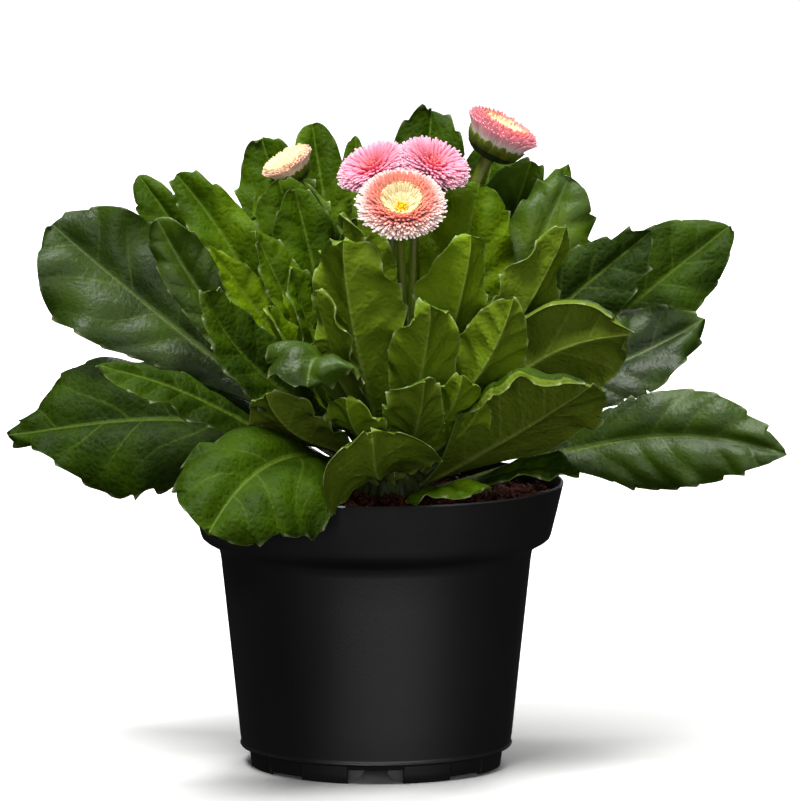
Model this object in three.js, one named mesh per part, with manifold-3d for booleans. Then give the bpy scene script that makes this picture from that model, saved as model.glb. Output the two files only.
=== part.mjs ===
// A common daisy of the double, quilled kind in a round nursery pot.
// Millimetres, +Z up, +X to the right and +Y away from someone who looks at its front.
import * as THREE from "three";
import { mergeVertices } from "three/addons/utils/BufferGeometryUtils.js";
import Module from "manifold-3d";

const wasm = await Module();
wasm.setup();

// Pot. The plant's crown stands over the origin, a little right of the pot's middle.
const potMiddleX = -6;
const potHeight = 91;
const rimRadius = 60;
const bandBottomRadius = 55.9;
const bandBottomHeight = 74.1;
const wallTopRadius = 50;
const wallTopHeight = 69.8;
const wallFootRadius = 43.4;
const footRadius = 41;
const footHeight = 6.2;
const potWall = 1.2;
const potSegments = 32;
const notchWidth = 18;
const notchHeight = 4.4;
const stepWidth = 14;
const stepHeight = 1;

// Soil and crown
const gap = 0.3;
const soilEdgeHeight = 86;
const soilMiddleHeight = 87.2;
const crownCentreHeight = 85;
const crownRadius = 13;
const crownFootHeight = 78;

// Leaves
const leafThickness = 0.7;
const midribThickness = 0.7;
const petioleHalfWidth = 1.3;
const leafRootDepth = 0.8;

const leafGreen = 0x35631b;
const youngGreen = 0x5d8a12;
const stalkGreen = 0x5b7021;

// Every leaf rises from the crown to its tip. Angles are in degrees: rise and end are the midrib's
// slopes, roll turns the upper face about the midrib to its right, curl lifts both margins.
// widest is the share of the length at the broadest place; point is 0.5 on a round tip and 0.9 on a
// sharp one; swing turns the root sideways; wing widens the stalk where it is winged; twist adds to
// the roll towards the tip.
const leaves = [
  // left side
  { name: "leaf_left_high", tip: [-110, 20, 171], rise: 37, end: 40,
    width: 43, widest: 0.81, roll: -70, curl: 8, point: 0.5, wing: 0 },
  { name: "leaf_left_low", tip: [-124, 10, 104], rise: 31, end: -10,
    width: 49, widest: 0.68, roll: -54, curl: -10, point: 0.95 },
  { name: "leaf_left_shelf", tip: [-93, -28, 131], rise: 25, end: 12,
    width: 20, widest: 0.72, roll: -40, curl: -16, point: 0.5, wing: 0.1 },
  { name: "leaf_left_dark", tip: [-59, -42, 156], rise: 45, end: 66,
    width: 22, widest: 0.7, roll: -72, curl: 14, point: 0.5, swing: 12 },
  { name: "leaf_left_round", tip: [-75, -12, 176], rise: 46, end: 64,
    width: 17, widest: 0.78, roll: -84, curl: 12, point: 0.5, swing: 11, twist: -15 },
  { name: "leaf_left_back_narrow", tip: [-83, 41, 185], rise: 45, end: 50,
    width: 18, widest: 0.72, roll: -70, curl: 18, point: 0.55, swing: 3 },
  { name: "leaf_left_folded", tip: [-70, 20, 187], rise: 48, end: 46,
    width: 20, widest: 0.7, roll: -52, curl: 26, point: 0.6, swing: 16, twist: -20 },
  { name: "leaf_left_twisted", tip: [-59, -20, 169], rise: 53, end: 54,
    width: 16, widest: 0.55, roll: -75, curl: 20, point: 0.8, swing: 12 },
  // front
  { name: "leaf_front_left_hanging", tip: [-57, -86, 86], rise: 29, end: -46,
    width: 44, widest: 0.72, roll: -32, curl: -8, point: 0.5 },
  { name: "leaf_front_left_low", tip: [-40, -50, 125], rise: 39.3, end: 56,
    width: 24.5, widest: 0.72, roll: 10, curl: 10, point: 0.5, swing: -4 },
  { name: "leaf_front_toothed", tip: [-27, -58, 128], rise: 56, end: -84,
    width: 29, widest: 0.78, roll: -16, curl: -6, point: 0.42, swing: -8 },
  { name: "leaf_front_cupped", tip: [-7, -80, 117], rise: 30, end: 76,
    width: 42, widest: 0.8, roll: 24, curl: -14, point: 0.5, wing: 0 },
  { name: "leaf_front_on_soil", tip: [24, -44, 92.5], rise: 12.6, end: -3,
    width: 23, widest: 0.6, roll: 6, curl: -4, point: 0.42 },
  { name: "leaf_front_short", tip: [9, -62, 131], rise: 40, end: 58,
    width: 17, widest: 0.74, roll: -6, curl: 22, point: 0.45, wing: 0.5, twist: 18 },
  { name: "leaf_front_middle", tip: [11, -44, 152], rise: 52, end: 68,
    width: 22, widest: 0.74, roll: -14, curl: 22, point: 0.5, twist: 30 },
  { name: "leaf_front_ribbed", tip: [37, -36, 153], rise: 52, end: 70,
    width: 17, widest: 0.7, roll: -46, curl: 20, point: 0.55, swing: -4, wing: 1 },
  // right side
  { name: "leaf_right_curled", tip: [61, -52, 128], rise: 26, end: 30,
    width: 30, widest: 0.74, roll: -38, curl: 22, point: 0.5, wing: 1.1 },
  { name: "leaf_right_under", tip: [58, -32, 97], rise: 12, end: -12,
    width: 14, widest: 0.7, roll: 20, curl: 6, point: 0.6, swing: 2 },
  { name: "leaf_right_olive", tip: [73, -30, 141], rise: 45, end: 4,
    width: 34, widest: 0.74, roll: -76, curl: 14, point: 0.5 },
  { name: "leaf_right_low", tip: [123, -36, 104], rise: 16, end: -16,
    width: 32, widest: 0.7, roll: 80, curl: -6, point: 0.85, wing: 0 },
  { name: "leaf_right_middle", tip: [99, 8, 142], rise: 41, end: 30,
    width: 29, widest: 0.7, roll: 62, curl: 8, point: 0.8, swing: -6 },
  { name: "leaf_right_high", tip: [108, 34, 169], rise: 34, end: 34,
    width: 28, widest: 0.78, roll: 62, curl: 8, point: 0.5 },
  { name: "leaf_right_dark", tip: [82, 17, 169], rise: 55, end: 38,
    width: 25, widest: 0.72, roll: 56, curl: 12, point: 0.75, swing: -6, twist: 20 },
  { name: "leaf_right_yellow", tip: [54, -10, 173], rise: 54, end: 66,
    width: 20, widest: 0.76, roll: -58, curl: 18, point: 0.5, swing: -14, twist: 25 },
  // middle
  { name: "leaf_middle_tall", tip: [-16, -32, 171], rise: 62, end: 80,
    width: 28, widest: 0.74, roll: 10, curl: 20, point: 0.45, twist: -12 },
  { name: "leaf_middle_right", tip: [24, -16, 171], rise: 68, end: 80,
    width: 22, widest: 0.76, roll: -46, curl: 18, point: 0.5, twist: 25 },
  { name: "leaf_middle_face", tip: [-32, 2, 184], rise: 62, end: 74,
    width: 20, widest: 0.76, roll: -70, curl: 12, point: 0.5, swing: 25 },
  { name: "leaf_middle_broad", tip: [-40, 26, 186], rise: 62, end: 62,
    width: 26, widest: 0.78, roll: -58, curl: -10, point: 0.45, swing: -4 },
  // behind the flowers
  { name: "leaf_back_left_round", tip: [-43, 40, 197], rise: 48, end: 68,
    width: 24, widest: 0.78, roll: -40, curl: 14, point: 0.45, swing: 3, twist: -20 },
  { name: "leaf_back_left_tall", tip: [-27, 50, 201], rise: 56, end: 70,
    width: 17, widest: 0.8, roll: -20, curl: 12, point: 0.45 },
  { name: "leaf_back_tall", tip: [12, 66, 204], rise: 54, end: 66,
    width: 24, widest: 0.82, roll: 10, curl: 12, point: 0.5, swing: 4 },
  { name: "leaf_back_right_tall", tip: [33, 57, 195], rise: 50, end: 66,
    width: 22, widest: 0.78, roll: 24, curl: 12, point: 0.5, swing: 2 },
  { name: "leaf_back_right_inner", tip: [44, 36, 190], rise: 54, end: 66,
    width: 22, widest: 0.78, roll: 44, curl: 12, point: 0.5, swing: 8 },
  { name: "leaf_right_glossy", tip: [27, 12, 185], rise: 62, end: 74,
    width: 31, widest: 0.74, roll: 60, curl: -12, point: 0.45, swing: -9 },
  { name: "leaf_right_broad", tip: [56, 23, 186], rise: 48, end: 62,
    width: 27, widest: 0.78, roll: 64, curl: -8, point: 0.45 },
  { name: "leaf_back_bronze", tip: [-13, 62, 196], rise: 72, end: 68,
    width: 11, widest: 0.8, roll: -10, curl: 12, point: 0.5, swing: -17 },
  // low ring at the back
  { name: "leaf_back_low_1", tip: [76, 60, 122], rise: 26, end: 4,
    width: 38, widest: 0.74, roll: 10, curl: 8, point: 0.55 },
  { name: "leaf_back_low_2", tip: [34, 88, 112], rise: 24, end: -8,
    width: 40, widest: 0.74, roll: 0, curl: 6, point: 0.5 },
  { name: "leaf_back_low_3", tip: [-18, 89, 118], rise: 26, end: -4,
    width: 38, widest: 0.74, roll: 4, curl: 8, point: 0.55 },
  { name: "leaf_back_low_4", tip: [-68, 71, 114], rise: 24, end: -6,
    width: 36, widest: 0.74, roll: -6, curl: 6, point: 0.5 },
  { name: "leaf_back_mid_1", tip: [44, 78, 152], rise: 42, end: 26,
    width: 32, widest: 0.74, roll: 6, curl: 10, point: 0.5 },
  { name: "leaf_back_mid_2", tip: [-40, 76, 154], rise: 42, end: 28,
    width: 32, widest: 0.74, roll: -6, curl: 10, point: 0.5 },
];

// The youngest leaves are still one piece with the crown.
const youngLeaves = [
  { tip: [-12, -8, 176], rise: 72, end: 76,
    width: 18, widest: 0.78, roll: 60, curl: 20, point: 0.5, swing: 21 },
  { tip: [56, 46, 188], rise: 46, end: 60,
    width: 16, widest: 0.76, roll: 40, curl: 14, point: 0.6, swing: 6 },
];

// Flower heads: middle of the bowl, the way it looks, its radius, how far its outer florets lift
// above the head's own plane, the stalk's slope where it leaves the crown and its swing.
const flowers = [
  { name: "front_flower", middle: [2, -28, 182], looks: [0.02, -0.68, 0.73],
    radius: 14.4, lift: 22, rise: 72, florets: 15, swing: 10 },
  { name: "left_pink_flower", middle: [-8, 2, 191], looks: [-0.36, -0.46, 0.81],
    radius: 12.4, lift: 30, rise: 84, florets: 13, swing: 80 },
  { name: "right_pink_flower", middle: [13.6, 2, 192], looks: [0.34, -0.46, 0.82],
    radius: 12.6, lift: 30, rise: 80, florets: 13, swing: -11 },
  { name: "young_flower", middle: [-34, 14, 191], looks: [-0.48, -0.22, 0.85],
    radius: 8.8, lift: 46, rise: 72, florets: 10, swing: 16 },
  { name: "tall_flower", middle: [34, 26, 201], looks: [0.45, -0.24, 0.86],
    radius: 12.3, lift: 42, rise: 68, florets: 13, swing: 0 },
];

const radians = THREE.MathUtils.degToRad;
const zAxis = new THREE.Vector3(0, 0, 1);

// A solid that can be joined or cut: positions only, shared corners welded.
function toManifold(geometry) {
  const bare = geometry.clone();
  bare.deleteAttribute("normal");
  bare.deleteAttribute("uv");
  const welded = mergeVertices(bare, 1e-4);
  const mesh = new wasm.Mesh({
    numProp: 3,
    vertProperties: new Float32Array(welded.attributes.position.array),
    triVerts: new Uint32Array(welded.index.array),
  });
  mesh.merge();
  return new wasm.Manifold(mesh);
}

function toGeometry(manifold) {
  const mesh = manifold.getMesh();
  const geometry = new THREE.BufferGeometry();
  geometry.setAttribute("position", new THREE.BufferAttribute(new Float32Array(mesh.vertProperties), 3));
  geometry.setIndex(new THREE.BufferAttribute(new Uint32Array(mesh.triVerts), 1));
  return geometry;
}

// A turned solid standing on Z, from [radius, height] pairs in order up the outside.
function turned(profile, segments) {
  const points = profile.map(([radius, height]) => new THREE.Vector2(radius, height));
  const geometry = new THREE.LatheGeometry(points, segments);
  geometry.rotateX(Math.PI / 2);
  return toManifold(geometry);
}

// The pot is one moulded shell: foot ring with notches, floor, wall, shoulder and band.
function potShell() {
  let pot = turned([
    [0, footHeight],
    [footRadius - 1.6, footHeight],
    [footRadius - 1.6, 0],
    [footRadius - 0.4, 0],
    [footRadius + 0.6, footHeight],
    [wallFootRadius - 0.3, footHeight + 0.7],
    [wallFootRadius, footHeight + 2.6],
    [wallTopRadius, wallTopHeight],
    [wallTopRadius + 2.4, wallTopHeight + 1.2],
    [bandBottomRadius, bandBottomHeight],
    [rimRadius, potHeight],
    [rimRadius - potWall, potHeight],
    [bandBottomRadius - potWall, bandBottomHeight + 1],
    [wallTopRadius - potWall, wallTopHeight + 1.2],
    [wallFootRadius - potWall, footHeight + 2],
    [0, footHeight + 2],
  ], potSegments);
  for (let quarter = 0; quarter < 4; quarter += 1) {
    const turn = quarter * 90;
    const notch = toManifold(new THREE.BoxGeometry(notchWidth, 8, notchHeight * 2));
    pot = pot.subtract(notch.translate([0, -footRadius, 0]).rotate([0, 0, turn]));
    const step = toManifold(new THREE.BoxGeometry(stepWidth, 8, stepHeight * 2));
    pot = pot.subtract(step.translate([0, -footRadius, 0]).rotate([0, 0, turn + 45]));
  }
  for (let quarter = 0; quarter < 4; quarter += 1) {
    pot = pot.add(footPlate().translate([0, -33, 0]).rotate([0, 0, quarter * 90]));
  }
  return toGeometry(pot);
}

// A plate behind each notch, with a gap in it that widens downwards on round shoulders.
function footPlate() {
  const half = 13;
  const topHalfGap = 3.7;
  const round = 3.6;
  const plate = new THREE.Shape();
  plate.moveTo(-half, 0);
  plate.lineTo(-topHalfGap - round, 0);
  plate.absarc(-topHalfGap - round, round, round, -Math.PI / 2, 0, false);
  plate.lineTo(-topHalfGap, notchHeight);
  plate.lineTo(topHalfGap, notchHeight);
  plate.absarc(topHalfGap + round, round, round, Math.PI, Math.PI * 1.5, false);
  plate.lineTo(half, 0);
  plate.lineTo(half, footHeight + 0.8);
  plate.lineTo(-half, footHeight + 0.8);
  plate.closePath();
  const geometry = new THREE.ExtrudeGeometry(plate, {
    depth: potWall,
    curveSegments: 4,
    bevelEnabled: false,
  });
  geometry.rotateX(Math.PI / 2);
  return toManifold(geometry);
}

// Peat that fills the pot to just under its rim, with a plain hole for the crown.
function soilBody() {
  const body = turned([
    [0, footHeight + 2 + gap],
    [wallFootRadius - potWall - gap - 0.2, footHeight + 2 + gap],
    [wallTopRadius - potWall - gap - 0.2, wallTopHeight + 1],
    [bandBottomRadius - potWall - gap - 0.6, bandBottomHeight + 1],
    [bandBottomRadius + 1, soilEdgeHeight],
    [40, soilEdgeHeight + 0.8],
    [24, soilMiddleHeight],
    [0, soilMiddleHeight],
  ], 28);
  const hole = turned([
    [0, crownFootHeight - gap],
    [crownRadius + gap, crownFootHeight - gap],
    [crownRadius + gap, soilMiddleHeight + 4],
    [0, soilMiddleHeight + 4],
  ], 24);
  return toGeometry(body.subtract(hole.translate([-potMiddleX, 0, 0])));
}

// The crown is a short stem with a domed top; with room it is the cutter that trims leaf roots.
function crownDome(room) {
  const outline = [[0, crownFootHeight - room], [crownRadius + room, crownFootHeight - room]];
  const steps = 4;
  for (let step = 0; step < steps; step += 1) {
    const angle = (step / steps) * Math.PI / 2;
    const radius = crownRadius + room;
    outline.push([radius * Math.cos(angle), crownCentreHeight + radius * Math.sin(angle)]);
  }
  outline.push([0, crownCentreHeight + crownRadius + room]);
  return turned(outline, 20);
}

// The way a leaf or stalk sets off from the crown towards a far point: it climbs at an angle, and
// swing turns it sideways from the straight way there, to the left seen from above.
function setOff(farPoint, rise, swing = 0) {
  const away = new THREE.Vector3(farPoint.x, farPoint.y, 0).normalize();
  away.applyAxisAngle(zAxis, radians(swing));
  away.multiplyScalar(Math.cos(radians(rise)));
  away.z = Math.sin(radians(rise));
  return away;
}

// The midrib leaves the crown along its own slope and ends at the tip with the end slope.
function midribOf(leaf) {
  const tip = new THREE.Vector3(...leaf.tip);
  const heading = new THREE.Vector3(tip.x, tip.y, 0).normalize();
  const start = setOff(tip, leaf.rise, leaf.swing);
  const finish = heading.clone().multiplyScalar(Math.cos(radians(leaf.end)));
  finish.z = Math.sin(radians(leaf.end));
  const centre = new THREE.Vector3(0, 0, crownCentreHeight);
  const root = centre.clone().addScaledVector(start, crownRadius - leafRootDepth);
  const length = root.distanceTo(tip);
  const curve = new THREE.CubicBezierCurve3(
    root,
    root.clone().addScaledVector(start, length * 0.42),
    tip.clone().addScaledVector(finish, -length * 0.38),
    tip,
  );
  return { curve, heading, length };
}

// Half the blade's width at u from root to tip: a narrow stalk that widens to a spoon.
function halfWidthAt(leaf, u) {
  const reach = Math.log(0.5) / Math.log(leaf.widest);
  const blade = Math.pow(Math.max(Math.sin(Math.PI * Math.pow(u, reach)), 0), leaf.point);
  const stalk = petioleHalfWidth * (1 - u) + leaf.width * (leaf.wing ?? 0.3) * u * (1 - u);
  return stalk + leaf.width / 2 * blade * Math.min(1, u * 2);
}

// A leaf is a thin solid swept along its midrib. Across it runs v from -1 to 1: the section is an
// arc that lifts by curl, the margins wave, and every second row of the blade is a tooth.
function leafSolid(leaf, number) {
  const { curve, heading, length } = midribOf(leaf);
  const broad = leaf.width >= 28;
  const rows = Math.round(broad ? 9 + length / 70 : 9);
  const columns = broad ? 4 : 2;
  const straightSide = new THREE.Vector3().crossVectors(heading, zAxis);
  const wave = leaf.width * 0.055;
  const tooth = Math.min(leaf.width * 0.05, 1.8);
  const positions = [];
  for (let row = 0; row <= rows; row += 1) {
    const share = row / rows;
    const u = (share + Math.sin(share * Math.PI / 2)) / 2;
    const middle = curve.getPoint(u);
    const along = curve.getTangent(u);
    const late = THREE.MathUtils.smoothstep(u, 0.4, 1);
    const roll = radians(leaf.roll * Math.min(u * 2.2, 1) + (leaf.twist ?? 0) * late);
    const side = straightSide.clone().applyAxisAngle(zAxis, radians(leaf.swing ?? 0) * (1 - u) * (1 - u));
    const up = new THREE.Vector3().crossVectors(side, along).normalize();
    const right = new THREE.Vector3().crossVectors(along, up);
    const faceUp = up.clone().multiplyScalar(Math.cos(roll)).addScaledVector(right, Math.sin(roll));
    const faceRight = right.multiplyScalar(Math.cos(roll)).addScaledVector(up, -Math.sin(roll));
    const isTooth = u > 0.42 && u < 0.985;
    const toothReach = isTooth ? tooth * (row % 2 === 0 ? 0.6 : -0.6) : 0;
    const halfWidth = Math.max(halfWidthAt(leaf, u) + toothReach, 0.9);
    for (const face of [1, -1]) {
      for (let column = 0; column <= columns; column += 1) {
        const v = column / columns * 2 - 1;
        const bend = radians(leaf.curl) * v * Math.min(u * 1.6, 1);
        const reach = halfWidth * v;
        const phase = number * 1.7 + (v > 0 ? 1.9 : 0);
        const ripple = wave * v * v * Math.sin(u * 13 + phase) * Math.min(u, 0.8);
        const height = Math.abs(reach) * Math.sin(Math.abs(bend)) * Math.sign(leaf.curl) + ripple;
        const spread = reach * Math.cos(bend);
        const thick = (leafThickness + midribThickness * (1 - Math.abs(v)) * (1 - u)) / 2;
        positions.push(
          middle.x + faceRight.x * spread + faceUp.x * (height + face * thick),
          middle.y + faceRight.y * spread + faceUp.y * (height + face * thick),
          middle.z + faceRight.z * spread + faceUp.z * (height + face * thick),
        );
      }
    }
  }
  return toManifold(sweptGrid(positions, rows, columns));
}

// Closes a grid of rows, each an upper and a lower line of points, into one thin solid.
// Both faces are split by the same diagonals, mirrored about the middle column.
function sweptGrid(positions, rows, columns) {
  const line = columns + 1;
  const at = (row, lower, column) => row * line * 2 + lower * line + column;
  const index = [];
  const quad = (a, b, c, d) => index.push(a, b, c, a, c, d);
  for (let row = 0; row < rows; row += 1) {
    for (let column = 0; column < columns; column += 1) {
      const mirrored = column >= columns / 2;
      const next = column + 1;
      const top = [at(row, 0, column), at(row, 0, next), at(row + 1, 0, next), at(row + 1, 0, column)];
      const bottom = [at(row, 1, column), at(row + 1, 1, column), at(row + 1, 1, next), at(row, 1, next)];
      if (mirrored) {
        quad(top[1], top[2], top[3], top[0]);
        quad(bottom[1], bottom[2], bottom[3], bottom[0]);
      } else {
        quad(...top);
        quad(...bottom);
      }
    }
    quad(at(row, 0, 0), at(row + 1, 0, 0), at(row + 1, 1, 0), at(row, 1, 0));
    quad(at(row, 0, columns), at(row, 1, columns), at(row + 1, 1, columns), at(row + 1, 0, columns));
  }
  for (let column = 0; column < columns; column += 1) {
    quad(at(0, 0, column), at(0, 1, column), at(0, 1, column + 1), at(0, 0, column + 1));
    quad(at(rows, 0, column), at(rows, 0, column + 1), at(rows, 1, column + 1), at(rows, 1, column));
  }
  const geometry = new THREE.BufferGeometry();
  geometry.setAttribute("position", new THREE.Float32BufferAttribute(positions, 3));
  geometry.setIndex(index);
  return geometry;
}

// A quilled floret or a bract: a three-sided rod that widens and then comes to a point.
// It starts at [reach, height] from the head's axis, lifted by an angle above the head's plane.
function quill({ reach, height, lift, turn, length, width, thickness }) {
  const rod = new THREE.LatheGeometry([
    new THREE.Vector2(0, 0),
    new THREE.Vector2(0.26, 0),
    new THREE.Vector2(0.72, length * 0.76),
    new THREE.Vector2(0, length),
  ], 3);
  rod.scale(width, 1, thickness);
  rod.rotateX(radians(lift));
  return toManifold(rod).translate([0, reach, height]).rotate([0, 0, turn]);
}

// Places a solid made about the Z axis so that its axis looks along a direction.
function aimed(solid, looks, origin) {
  const turn = new THREE.Quaternion().setFromUnitVectors(new THREE.Vector3(0, 0, 1), looks);
  const matrix = new THREE.Matrix4().compose(origin, turn, new THREE.Vector3(1, 1, 1));
  return solid.transform(matrix.elements);
}

function floretRing(count, ring, size) {
  const quills = [];
  for (let i = 0; i < count; i += 1) {
    quills.push(quill({
      reach: size.root,
      height: size.height,
      lift: size.lift,
      turn: (i + ring * 0.5) * 360 / count,
      length: size.length * (1 + 0.04 * Math.sin(i * 2.4 + ring)),
      width: size.width,
      thickness: size.thickness,
    }));
  }
  return quills;
}

// Rows of pink ray florets that stand out of a small bowl-shaped core.
function rayFlorets(flower) {
  const r = flower.radius;
  const core = turned([
    [0, r * 0.3],
    [r * 0.36, r * 0.3],
    [r * 0.46, r * 0.44],
    [r * 0.42, r * 0.56],
    [r * 0.27, r * 0.48],
    [r * 0.25, r * 0.4],
    [0, r * 0.4],
  ], 10);
  const solids = [core];
  const ringTotal = 3;
  for (let ring = 0; ring < ringTotal; ring += 1) {
    const lift = flower.lift + ring * (66 - flower.lift) / ringTotal;
    const reachOut = r * (1 - ring * 0.13);
    const root = r * 0.38;
    const size = {
      root,
      height: r * (0.43 + ring * 0.045),
      lift,
      length: (reachOut - root) / Math.cos(radians(lift * 0.9)),
      width: r * (0.17 - ring * 0.015),
      thickness: r * 0.12,
    };
    solids.push(...floretRing(flower.florets - ring * 2, ring, size));
  }
  return wasm.Manifold.union(solids);
}

// The sunken middle: a low button ringed by short cream florets.
function discFlorets(flower) {
  const r = flower.radius;
  const button = turned([
    [0, r * 0.4 + gap],
    [r * 0.2, r * 0.4 + gap],
    [r * 0.22, r * 0.5],
    [r * 0.12, r * 0.58],
    [0, r * 0.6],
  ], 8);
  const size = {
    root: r * 0.12,
    height: r * 0.52,
    lift: 44,
    length: r * 0.36,
    width: r * 0.12,
    thickness: r * 0.09,
  };
  return wasm.Manifold.union([button, ...floretRing(8, 0, size)]);
}

// Green stalk, cup and a ring of blunt bracts.
function greenParts(flower, looks, seat) {
  const r = flower.radius;
  const cup = turned([
    [0, -r * 0.06],
    [r * 0.12, -r * 0.06],
    [r * 0.34, r * 0.12],
    [r * 0.42, r * 0.3 - gap],
    [0, r * 0.3 - gap],
  ], 10);
  const size = {
    root: r * 0.26,
    height: r * 0.13,
    lift: 38,
    length: r * 0.36,
    width: r * 0.24,
    thickness: r * 0.12,
  };
  const head = wasm.Manifold.union([cup, ...floretRing(8, 0, size)]);
  const path = stalkPath(flower, looks, seat);
  const section = new THREE.Shape();
  section.absarc(0, 0, 1.35, 0, Math.PI * 2, false);
  const stalk = new THREE.ExtrudeGeometry(section, {
    extrudePath: path,
    steps: 6,
    curveSegments: 3,
    bevelEnabled: false,
  });
  return aimed(head, looks, seat).add(toManifold(stalk));
}

function stalkPath(flower, looks, seat) {
  const start = setOff(seat, flower.rise, flower.swing);
  const centre = new THREE.Vector3(0, 0, crownCentreHeight);
  const root = centre.clone().addScaledVector(start, crownRadius - leafRootDepth);
  const length = root.distanceTo(seat);
  return new THREE.CubicBezierCurve3(
    root,
    root.clone().addScaledVector(start, length * 0.5),
    seat.clone().addScaledVector(looks, -length * 0.2),
    seat.clone().addScaledVector(looks, 0.2),
  );
}

function material(color, roughness) {
  return new THREE.MeshStandardMaterial({ color, roughness, metalness: 0 });
}

const potPlastic = material(0x222122, 0.42);
const peat = material(0x43241a, 0.95);
const crownSkin = material(0x56701c, 0.6);
const leafSkin = material(leafGreen, 0.45);
const youngSkin = material(youngGreen, 0.5);
const stalkSkin = material(stalkGreen, 0.55);
const pinkFloret = material(0xf4a9ad, 0.6);
const creamFloret = material(0xf6e79a, 0.6);

const plant = new THREE.Group();

function place(name, geometry, skin, parent) {
  const mesh = new THREE.Mesh(geometry, skin);
  mesh.name = name;
  parent.add(mesh);
  return mesh;
}

const potGroup = new THREE.Group();
potGroup.position.set(potMiddleX, 0, 0);
plant.add(potGroup);
place("pot", potShell(), potPlastic, potGroup);
place("soil", soilBody(), peat, potGroup);

const rootCutter = crownDome(gap);
let crown = crownDome(0);
youngLeaves.forEach((leaf, number) => {
  crown = crown.add(leafSolid(leaf, number + 50));
});
place("crown", toGeometry(crown), crownSkin, plant);

leaves.forEach((leaf, number) => {
  const solid = leafSolid(leaf, number).subtract(rootCutter);
  place(leaf.name, toGeometry(solid), leaf.rise > 60 ? youngSkin : leafSkin, plant);
});

for (const flower of flowers) {
  const looks = new THREE.Vector3(...flower.looks).normalize();
  const seat = new THREE.Vector3(...flower.middle).addScaledVector(looks, -flower.radius * 0.7);
  const green = greenParts(flower, looks, seat).subtract(rootCutter);
  place(`${flower.name}_stalk`, toGeometry(green), stalkSkin, plant);
  place(`${flower.name}_rays`, toGeometry(aimed(rayFlorets(flower), looks, seat)), pinkFloret, plant);
  place(`${flower.name}_disc`, toGeometry(aimed(discFlorets(flower), looks, seat)), creamFloret, plant);
}

export default plant;
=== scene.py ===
import math
from functools import partial

import bpy
import numpy as np
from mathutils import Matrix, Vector


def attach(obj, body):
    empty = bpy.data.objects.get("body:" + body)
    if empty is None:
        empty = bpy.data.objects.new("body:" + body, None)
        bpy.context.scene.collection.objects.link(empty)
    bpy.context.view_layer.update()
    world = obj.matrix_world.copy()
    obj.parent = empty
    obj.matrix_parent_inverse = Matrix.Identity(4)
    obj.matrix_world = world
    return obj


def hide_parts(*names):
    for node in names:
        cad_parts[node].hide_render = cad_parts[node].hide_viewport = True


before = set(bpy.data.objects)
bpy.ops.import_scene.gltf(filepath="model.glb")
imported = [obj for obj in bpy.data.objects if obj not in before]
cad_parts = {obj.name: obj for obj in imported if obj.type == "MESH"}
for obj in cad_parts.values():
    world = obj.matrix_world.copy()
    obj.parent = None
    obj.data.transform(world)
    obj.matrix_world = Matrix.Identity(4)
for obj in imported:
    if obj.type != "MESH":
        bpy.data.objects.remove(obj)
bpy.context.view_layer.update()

mm = 0.001
rng = np.random.default_rng(seed=11)
print("frame loaded:", len(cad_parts), "nodes")


# small helpers
def linear(hexColour):
    # sRGB hex to linear light: each channel c becomes c/12.92 below 0.04045, else ((c+0.055)/1.055)^2.4
    code = hexColour.lstrip("#")
    channels = np.array([int(code[i:i + 2], 16) for i in (0, 2, 4)]) / 255
    light = np.where(channels <= 0.04045, channels / 12.92, ((channels + 0.055) / 1.055) ** 2.4)
    return (*light.tolist(), 1.0)


def addNode(tree, kind, inputs=None, stops=None, **settings):
    # adds one shader node; an input is a value, a hex colour, a socket or a node, which stands for its
    # first live output; stops are a ramp's colours
    made = tree.nodes.new("ShaderNode" + kind)
    for name, value in settings.items():
        setattr(made, name, value)
    for socket, value in (inputs or {}).items():
        if isinstance(value, bpy.types.Node):
            value = next(output for output in value.outputs if output.enabled)
        if isinstance(value, bpy.types.NodeSocket):
            tree.links.new(value, made.inputs[socket])
        else:
            made.inputs[socket].default_value = linear(value) if isinstance(value, str) else value
    if stops:
        ramp = made.color_ramp
        while len(ramp.elements) < len(stops):
            ramp.elements.new(1.0)
        for element, (place, colour) in zip(ramp.elements, stops):
            element.position = place
            element.color = linear(colour) if isinstance(colour, str) else (colour, colour, colour, 1)
    return made


def newMaterial(name):
    # a material with an empty node tree, addNode bound to that tree, and Object coordinates
    material = bpy.data.materials.new(name)
    material.use_nodes = True
    material.node_tree.nodes.clear()
    node = partial(addNode, material.node_tree)
    return material, node, node("TexCoord").outputs["Object"]


def smoothStep(low, high, x):
    # the share t of the way from low to high, held between 0 and 1, eased as 3 t^2 - 2 t^3
    t = np.clip((x - low) / (high - low), 0, 1)
    return t * t * (3 - 2 * t)


def unit(vectors):
    # each vector divided by its own length
    return vectors / np.linalg.norm(vectors, axis=-1, keepdims=True)


def aroundZ(radius, turn, z):
    # points at a radius, a turn about z and a height, each of which may be a row or a column
    return np.stack(np.broadcast_arrays(radius * np.cos(turn), radius * np.sin(turn), z), -1)


def spokes(radial, sideways, height, turn):
    # points in upright planes that are turned about z: how far out, how far to the side and how high
    c, s = np.cos(turn), np.sin(turn)
    return np.stack(np.broadcast_arrays(radial * c - sideways * s, radial * s + sideways * c, height), -1)


def fullTurn(count):
    # angles of a ring of points, the last of which meets the first
    return np.linspace(0, 2 * np.pi, count, endpoint=False)


def moved(part, step):
    # a part with the same step in mm added to all its points
    return part[0] + np.array(step, float), part[1], part[2]


def gridFaces(rows, columns, endless=False):
    # quads of a grid numbered row by row whose columns close into a ring, and its rows too if endless
    row, column = np.meshgrid(np.arange(rows if endless else rows - 1), np.arange(columns), indexing="ij")
    ahead, following = (row + 1) % rows, (column + 1) % columns
    corners = [row * columns + column, row * columns + following,
               ahead * columns + following, ahead * columns + column]
    return np.stack(corners, -1).reshape(-1, 4)


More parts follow.
